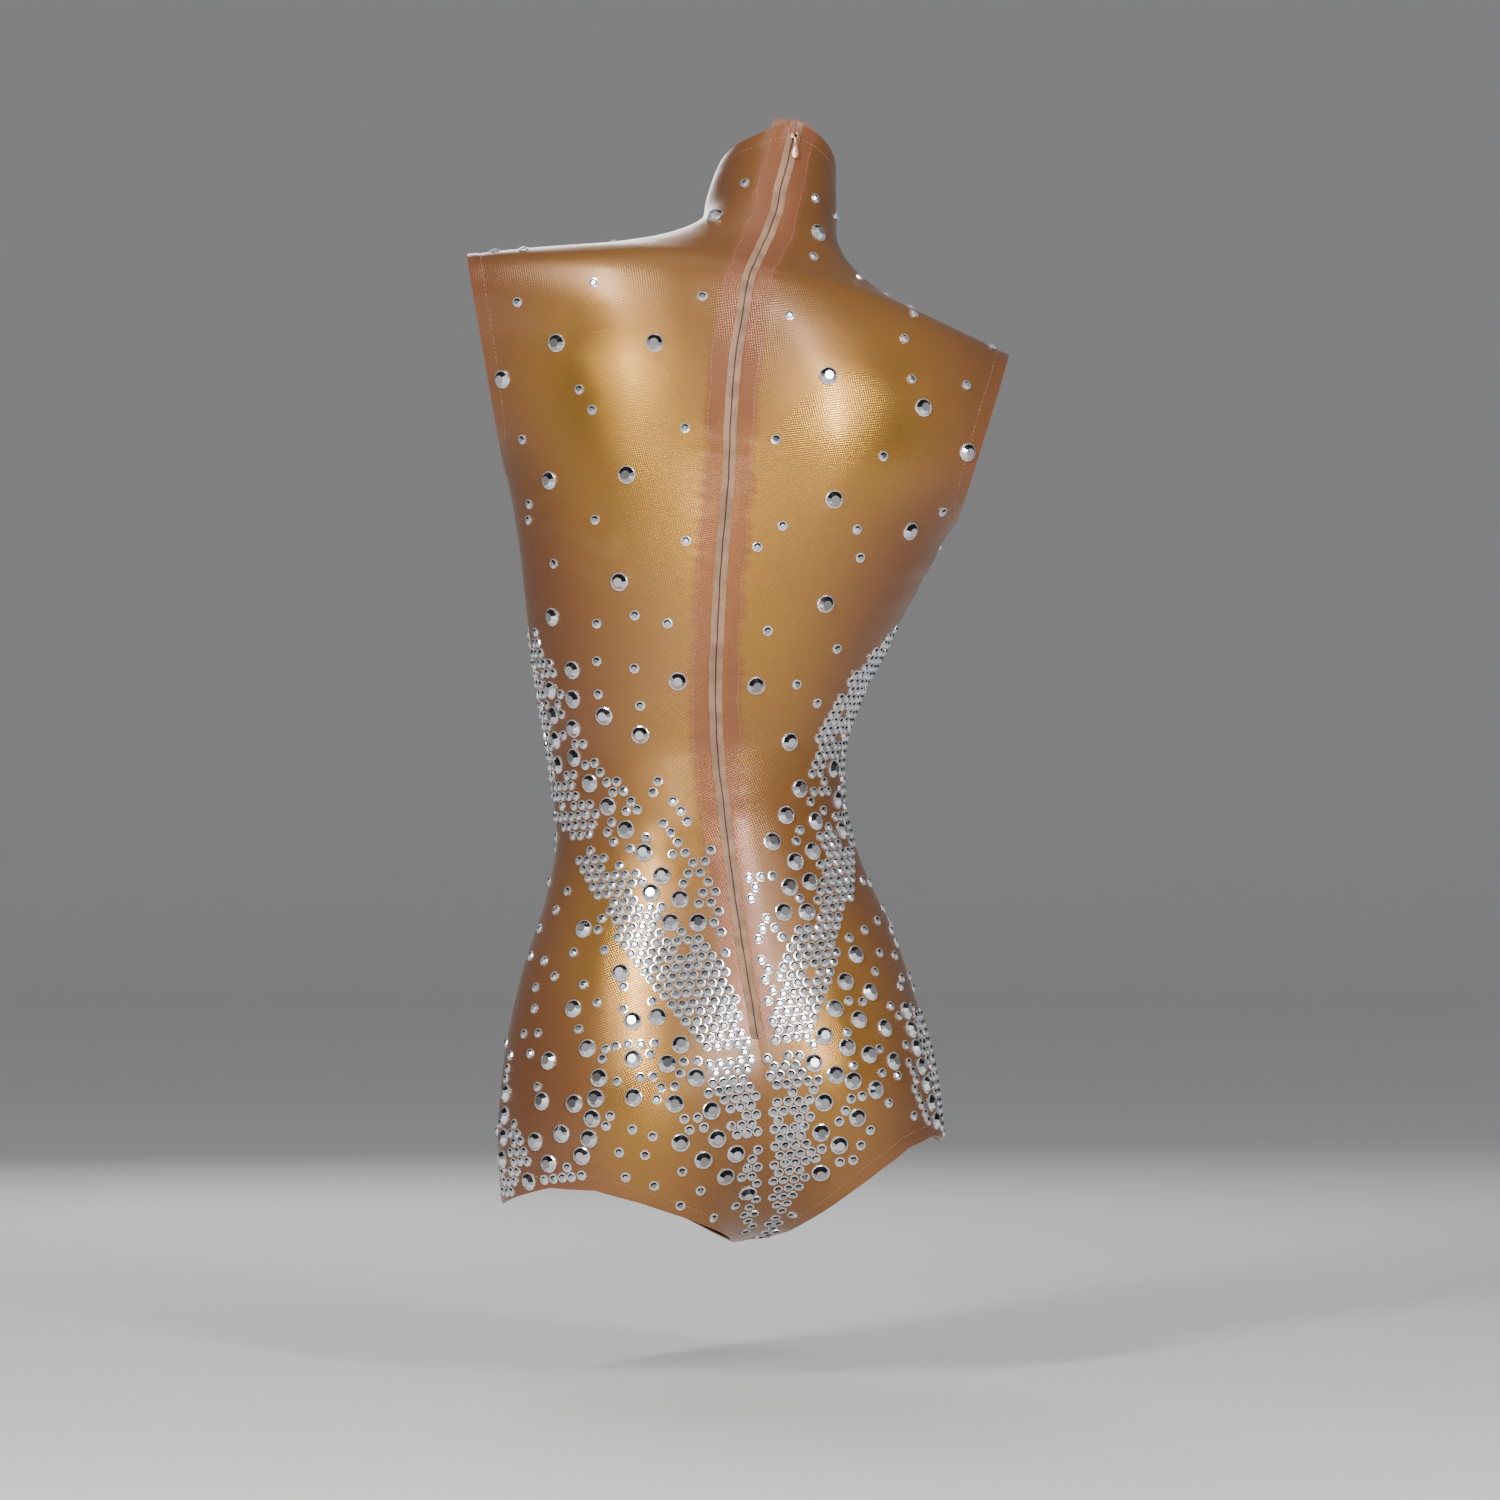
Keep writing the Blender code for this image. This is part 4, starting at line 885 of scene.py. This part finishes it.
glass, nodes, links, shader = nodes_of("cut_glass")
PAINTED_REFLECTION_DARK = (0.004, 0.004, 0.006)
SILVER_AND_REFLECTION_BRIGHT = (0.93, 0.94, 0.97)
# The glass's colour is painted reflection, dark to bright by facet, with the silver rim's own colour.
links.new(mixed(nodes, links, attribute(nodes, "silver_and_painted_glint"), PAINTED_REFLECTION_DARK, SILVER_AND_REFLECTION_BRIGHT), shader.inputs["Base Color"])
shader.inputs["Metallic"].default_value = 0.75
shader.inputs["Roughness"].default_value = 0.16
shader.inputs["Specular IOR Level"].default_value = 0.8

rng = np.random.default_rng(41)
large, small = [], []


def room_for(spots, taken, reach):
    """Which spots keep clear of every stone that is already set."""
    if not taken:
        return np.full(len(spots), True)
    where, radius = np.array([t[0] for t in taken]), np.array([t[1] for t in taken])
    parts = [s for s in np.array_split(spots, 40)]
    return np.concatenate([(np.linalg.norm(s[:, None] - where, axis=2) > radius + reach).all(1) for s in parts])


for face in (1, -1):
    taken, placed = [], []
    rows = [row[1:] for row in STONES if row[0] == face]
    lines = [np.linspace(row[1:3], row[3:5], row[5]) for row in STONE_LINES if row[0] == face]
    for side, height in np.concatenate([np.array(rows, float), *lines]):
        spot = FORM.seen_at(side * MM, height * MM, face)
        point = FORM.at(*spot)
        flat = FORM.flat(*spot, 0 if face > 0 else 2 * QUARTER)[None]
        loops = [back_loop(1), back_loop(-1)] if face > 0 else [front_loop()]
        clear = STONE_WIDTH / 2 + STONE_MARGIN
        held = any(inside(flat, loop)[0] and distance(flat, loop)[0] > clear for loop in loops)
        if held and room_for(point[None], taken, STONE_WIDTH / 2)[0]:
            taken.append((point, STONE_WIDTH / 2))
            placed.append(spot)
    large.append(np.array(placed))
    placed = []
    if face > 0:
        for side, height in SMALL_STONES:
            spot = FORM.seen_at(side * MM, height * MM, face)
            if room_for(FORM.at(*spot)[None], taken, SMALL_WIDTH / 2)[0]:
                taken.append((FORM.at(*spot), SMALL_WIDTH / 2))
                placed.append(spot)
    middle = 0 if face > 0 else 2 * QUARTER
    for zone_face, spacing, share, outline in ZONES:
        if zone_face != face:
            continue
        for loop in [back_loop(1), back_loop(-1)] if face > 0 else [front_loop()]:
            flat = grid(loop, spacing * MM)
            flat = flat + rng.normal(0, 0.03 if spacing < WIDE_SPACING else 0.22, flat.shape) * spacing * MM
            flat = flat[inside(flat, loop)]
            flat = flat[distance(flat, loop) > SMALL_WIDTH / 2 + 0.4 * MM]
            angle, run = FORM.worn(flat, middle)
            points = FORM.at(angle, run)
            from_zip = np.abs(FORM.arc(angle, run) - FORM.arc(0, run))
            good = inside(points[:, [0, 2]] / MM, np.array(outline, float)) & (rng.random(len(flat)) < share)
            beside_lips = (from_zip > LIP_REACH) & (run > FORM.run_at(BAND_SET))
            off_zip = (from_zip > ZIP_BAND + SMALL_WIDTH / 2) | beside_lips | (run > FORM.run_at(ZIP_FOOT))
            good &= off_zip | (face < 0)
            good &= run > collar_edge(angle) + BARE_COLLAR
            good &= room_for(points, taken, SMALL_WIDTH / 2 - STONE_GAP)
            if spacing > WIDE_SPACING:
                for k in np.flatnonzero(good):
                    if room_for(points[k : k + 1], taken[-LATEST:], SMALL_WIDTH / 2)[0]:
                        taken.append((points[k], SMALL_WIDTH / 2))
                        placed.append((angle[k], run[k]))
            else:
                taken += [(p, SMALL_WIDTH / 2) for p in points[good]]
                placed += list(zip(angle[good], run[good]))
    small.append(np.array(placed))
for side_name, big, little in zip(("back", "front"), large, small):
    set_stones(f"large_stones_{side_name}", *big.T, STONE_WIDTH, cut_stone(LARGE_CUT, 12, 3), glass, rng)
    set_stones(f"small_stones_{side_name}", *little.T, SMALL_WIDTH, cut_stone(SMALL_CUT, 8, 2), glass, rng)
    print(side_name, len(big), "large stones,", len(little), "small stones")


# The zip. Two woven lips meet over its coil down the centre back, each sewn down along both edges; the raw ends of
# the tapes stand a little over the collar.
LIP_WIDTH = 4.2 * MM
LIP_GAP = 0.45 * MM
LIP_THICK = 0.7 * MM


def ribbon(name, low_arc, high_arc, runs, foot, thick, material):
    """A closed band on the cloth: arcs across, runs down, and a rounded top over a flat underside."""
    u = np.linspace(-1, 1, 7)
    middle, half = (low_arc + high_arc) / 2, (high_arc - low_arc) / 2
    wander = 0.12 * MM * np.sin(runs / MM * 0.21)[:, None]
    arcs = middle + half * u[None] + wander
    flat = np.stack([arcs.ravel(), np.repeat(-runs, 7)], 1)
    angle, run = FORM.worn(flat, 0)
    over = np.clip(COLLAR_RUN - run, 0, None)
    base, normal = FORM.at(angle, run + over), FORM.normal(angle, run + over)
    up = FORM.at(angle, COLLAR_RUN) - FORM.at(angle, COLLAR_RUN + MM)
    base = base + up / np.linalg.norm(up, axis=1, keepdims=True) * over[:, None]
    lift = foot + relief(angle, run)
    crown = thick * (1 - 0.55 * np.tile(np.abs(u) ** 3, len(runs)))
    k = (np.arange(len(runs) - 1)[:, None] * 7 + np.arange(6)).ravel()
    faces = np.concatenate([np.stack([k, k + 7, k + 8], 1), np.stack([k, k + 8, k + 1], 1)])
    points, faces = closed_wall(base + normal * lift[:, None], base + normal * (lift + crown)[:, None], faces)
    band = shaded(name, points, faces, material)
    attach(band, "garment")
    return band


def woven(name, light, dark, scale):
    """Ribbed tape: fine ribs across Object coordinates, with a soft mottle between two shades."""
    material, nodes, links, shader = nodes_of(name)
    where = nodes.new("ShaderNodeTexCoord")
    wave = nodes.new("ShaderNodeTexWave")
    wave.bands_direction = "DIAGONAL"
    wave.inputs["Scale"].default_value = scale
    wave.inputs["Distortion"].default_value = 1.2
    noise = nodes.new("ShaderNodeTexNoise")
    noise.inputs["Scale"].default_value = 90
    for node in (wave, noise):
        links.new(where.outputs["Object"], node.inputs["Vector"])
    shade = mixed(nodes, links, ranged(nodes, links, noise.outputs["Fac"], 0.3, 0.7), dark, light)
    shade = mixed(nodes, links, ranged(nodes, links, wave.outputs["Fac"], 0.0, 1.0, 0.0, 0.35), shade, dark)
    links.new(shade, shader.inputs["Base Color"])
    bump = nodes.new("ShaderNodeBump")
    bump.inputs["Strength"].default_value = 0.5
    bump.inputs["Distance"].default_value = 0.0002
    links.new(wave.outputs["Fac"], bump.inputs["Height"])
    links.new(bump.outputs["Normal"], shader.inputs["Normal"])
    shader.inputs["Roughness"].default_value = 0.75
    shader.inputs["Sheen Weight"].default_value = 0.2
    return material


beige = woven("beige_tape", (0.46, 0.27, 0.155), (0.27, 0.145, 0.085), 260)
rose = woven("rose_tape", (0.40, 0.20, 0.13), (0.24, 0.11, 0.07), 260)
coil = woven("zip_coil", (0.10, 0.055, 0.035), (0.03, 0.016, 0.012), 400)
thread = woven("sewing_thread", (0.52, 0.33, 0.20), (0.36, 0.21, 0.12), 500)
zip_runs = np.linspace(COLLAR_RUN - 2 * MM, FORM.run_at(ZIP_FOOT), 260)
zip_parts = []
for hand, label in ((1, "left"), (-1, "right")):
    arcs = sorted((hand * LIP_GAP, hand * (LIP_GAP + LIP_WIDTH)))
    zip_parts.append(ribbon(f"zip_lip_{label}", *arcs, zip_runs, CLOTH_OUTSIDE + 0.1 * MM, LIP_THICK, beige))
zip_parts.append(ribbon("zip_coil", -LIP_GAP, LIP_GAP, zip_runs[2:], CLOTH_OUTSIDE - 0.1 * MM, 0.4 * MM, coil))
for label in ("zip_tape_left", "zip_tape_right", "neck_patch"):
    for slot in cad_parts[label].material_slots:
        slot.material = rose


# The stitches, one short thread at a time, along the zip's lips and bands and inside every hem.
STITCH_PITCH = 3.4 * MM
STITCH_LONG = 2.3 * MM
STITCH_THICK = 0.42 * MM


def stitches(name, lines, middle, lift):
    """Rows of thread along lines of the laid out cloth: short rods, high in the middle and low at the ends."""
    flats = []
    for line in lines:
        far = np.concatenate([[0], np.cumsum(np.linalg.norm(np.diff(line, axis=0), axis=1))])
        places = np.arange(STITCH_PITCH, far[-1] - STITCH_PITCH, STITCH_PITCH)
        along = places[:, None] + np.array([-0.5, 0, 0.5]) * STITCH_LONG
        flats.append(np.stack([np.interp(along, far, line[:, k]) for k in (0, 1)], 2))
    flats = np.concatenate(flats)
    angle, run = FORM.worn(flats.reshape(-1, 2), middle)
    base, normal = FORM.at(angle, run).reshape(-1, 3, 3), FORM.normal(angle, run).reshape(-1, 3, 3)
    raised = (CLOTH_OUTSIDE + lift + relief(angle, run)).reshape(-1, 3) + np.array([-0.15, 0.12, -0.15]) * MM
    along = base[:, 2] - base[:, 0]
    across = np.cross(along, normal[:, 1])
    across /= np.linalg.norm(across, axis=1, keepdims=True)
    centre = base + normal * raised[..., None]
    turns = np.arange(4) * QUARTER + QUARTER / 2
    thick = np.array([0.6, 1.0, 0.6])[:, None] * STITCH_THICK / 2
    ring = across[:, None, None] * (np.cos(turns) * thick)[None, ..., None]
    ring = ring + normal[:, :, None] * (np.sin(turns) * thick)[None, ..., None]
    points = (centre[:, :, None] + ring).reshape(-1, 3)
    one = [(k + r, (k + 1) % 4 + r, (k + 1) % 4 + r + 4, k + r + 4) for r in (0, 4) for k in range(4)]
    one += [(3, 2, 1, 0), (8, 9, 10, 11)]
    faces = (np.array(one)[None] + (np.arange(len(flats)) * 12)[:, None, None]).reshape(-1, 4)
    sewn = shaded(name, points, faces, thread)
    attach(sewn, "garment")
    return sewn


def inset_line(line, loop, depth):
    """The same line moved into the cloth, to the side of it that lies inside the loop."""
    along = np.gradient(line, axis=0)
    side = np.stack([-along[:, 1], along[:, 0]], 1)
    side /= np.maximum(np.linalg.norm(side, axis=1, keepdims=True), 1e-9)
    middle = len(line) // 2
    if not inside((line + side * depth)[middle : middle + 1], loop)[0]:
        side = -side
    line = line + side * depth
    return line[inside(line, loop)]


front_rows = [inset_line(h, front_loop(), HEM_DEEP) for h in front_hems]
sewn = {"front_cloth": [stitches("front_stitches", front_rows, 2 * QUARTER, 0.05 * MM)]}
for hand, label in ((1, "left"), (-1, "right")):
    rows = [inset_line(h, back_loop(hand), HEM_DEEP) for h in back_hems[hand]]
    sewn[f"back_cloth_{label}"] = [stitches(f"back_stitches_{label}", rows, 0, 0.05 * MM)]
    lip_rows = [np.stack([np.full(260, hand * (LIP_GAP + inset * MM)), -zip_runs], 1)[3:] for inset in (0.9, 3.3)]
    sewn[f"back_cloth_{label}"].append(stitches(f"zip_stitches_{label}", lip_rows, 0, LIP_THICK * 0.95))
    band_rows = [np.stack([hand * (band_edge(zip_runs) - 2 * MM), -zip_runs], 1)[3:]]
    sewn[f"back_cloth_{label}"].append(stitches(f"band_stitches_{label}", band_rows, 0, 0.1 * MM))
sewn["back_cloth_left"] += zip_parts

# The slider and its pull: cast metal with a warm salmon lacquer, their edges worn round. The pull hangs free.
lacquer, nodes, links, shader = nodes_of("salmon_metal")
where = nodes.new("ShaderNodeTexCoord")
noise = nodes.new("ShaderNodeTexNoise")
noise.inputs["Scale"].default_value = 320
links.new(where.outputs["Object"], noise.inputs["Vector"])
SALMON_DARK = (0.62, 0.30, 0.20)
SALMON = (0.80, 0.47, 0.34)
worn = ranged(nodes, links, noise.outputs["Fac"], 0.35, 0.7)
links.new(mixed(nodes, links, worn, SALMON_DARK, SALMON), shader.inputs["Base Color"])
links.new(ranged(nodes, links, noise.outputs["Fac"], 0.3, 0.7, 0.22, 0.38), shader.inputs["Roughness"])
shader.inputs["Metallic"].default_value = 0.8
for node, body in (("zip_slider", "garment"), ("zip_pull", "pull")):
    shape = bmesh.new()
    shape.from_mesh(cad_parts[node].data)
    bmesh.ops.remove_doubles(shape, verts=shape.verts, dist=0.00001)
    bmesh.ops.dissolve_limit(shape, angle_limit=math.radians(2), verts=shape.verts, edges=shape.edges)
    mesh = bpy.data.meshes.new(f"{node}_cast")
    shape.to_mesh(mesh)
    shape.free()
    mesh.materials.clear()
    mesh.materials.append(lacquer)
    cast = bpy.data.objects.new(f"{node}_cast", mesh)
    bpy.context.scene.collection.objects.link(cast)
    bevel = cast.modifiers.new("worn edges", "BEVEL")
    bevel.width, bevel.segments, bevel.limit_method = 0.3 * MM, 3, "ANGLE"
    mesh.shade_smooth()
    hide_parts(node)
    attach(cast, body)

# The studio. A pale floor that curves up into a wall all round, far outside every view, under an even pale room
# light, with soft boxes for the gloss.
FLOOR_HEIGHT = -0.80
FLOOR_REACH = 9
BEND = 4
WALL_TOP = 7
turns = np.linspace(0, 4 * QUARTER, 97)[:-1]
bends = np.linspace(0, QUARTER, 17)
radius = np.concatenate([[FLOOR_REACH / 2], FLOOR_REACH + BEND * np.sin(bends), [FLOOR_REACH + BEND]])
level = FLOOR_HEIGHT + np.concatenate([[0], BEND * (1 - np.cos(bends)), [WALL_TOP]])
rings = np.stack([radius[:, None] * np.cos(turns), radius[:, None] * np.sin(turns), level[:, None] + 0 * turns], 2)
ring, k = np.meshgrid(np.arange(len(radius) - 1), np.arange(len(turns)), indexing="ij")
a, b = (ring * len(turns) + k).ravel(), (ring * len(turns) + (k + 1) % len(turns)).ravel()
faces = np.stack([a, a + len(turns), b + len(turns), b], 1).tolist()
floor_mesh = bpy.data.meshes.new("floor")
floor_mesh.from_pydata(rings.reshape(-1, 3).tolist(), [], faces + [tuple(range(len(turns)))])
floor_mesh.shade_smooth()
floor = bpy.data.objects.new("floor", floor_mesh)
bpy.context.scene.collection.objects.link(floor)
pale, nodes, links, shader = nodes_of("pale_floor")
shader.inputs["Base Color"].default_value = (0.80, 0.80, 0.80, 1)
shader.inputs["Roughness"].default_value = 0.8
floor_mesh.materials.append(pale)
world = bpy.data.worlds.new("room")
world.use_nodes = True
world.node_tree.nodes["Background"].inputs["Color"].default_value = (0.25, 0.25, 0.255, 1)
bpy.context.scene.world = world


def softbox(name, place, aim, size, power):
    """A rectangular studio light that faces its aim."""
    light = bpy.data.lights.new(name, "AREA")
    light.shape = "RECTANGLE"
    light.size, light.size_y = size
    light.energy = power
    lamp = bpy.data.objects.new(name, light)
    lamp.location = place
    lamp.rotation_euler = (Vector(aim) - Vector(place)).to_track_quat("-Z", "Y").to_euler()
    bpy.context.scene.collection.objects.link(lamp)


softbox("key", (1.3, 2.6, 1.1), (0.02, 0, -0.25), (0.22, 1.4), 66)
softbox("second", (-1.25, 2.7, 0.7), (0.02, 0, -0.3), (0.22, 1.4), 52)
softbox("low", (0.3, 2.8, -0.5), (0.02, 0, -0.55), (0.7, 0.3), 8)
softbox("front", (0.6, -2.4, 1.0), (0, 0, -0.3), (1.2, 1.6), 30)
softbox("top", (0, 0.9, 1.9), (0, 0, -0.1), (1.4, 0.8), 4)
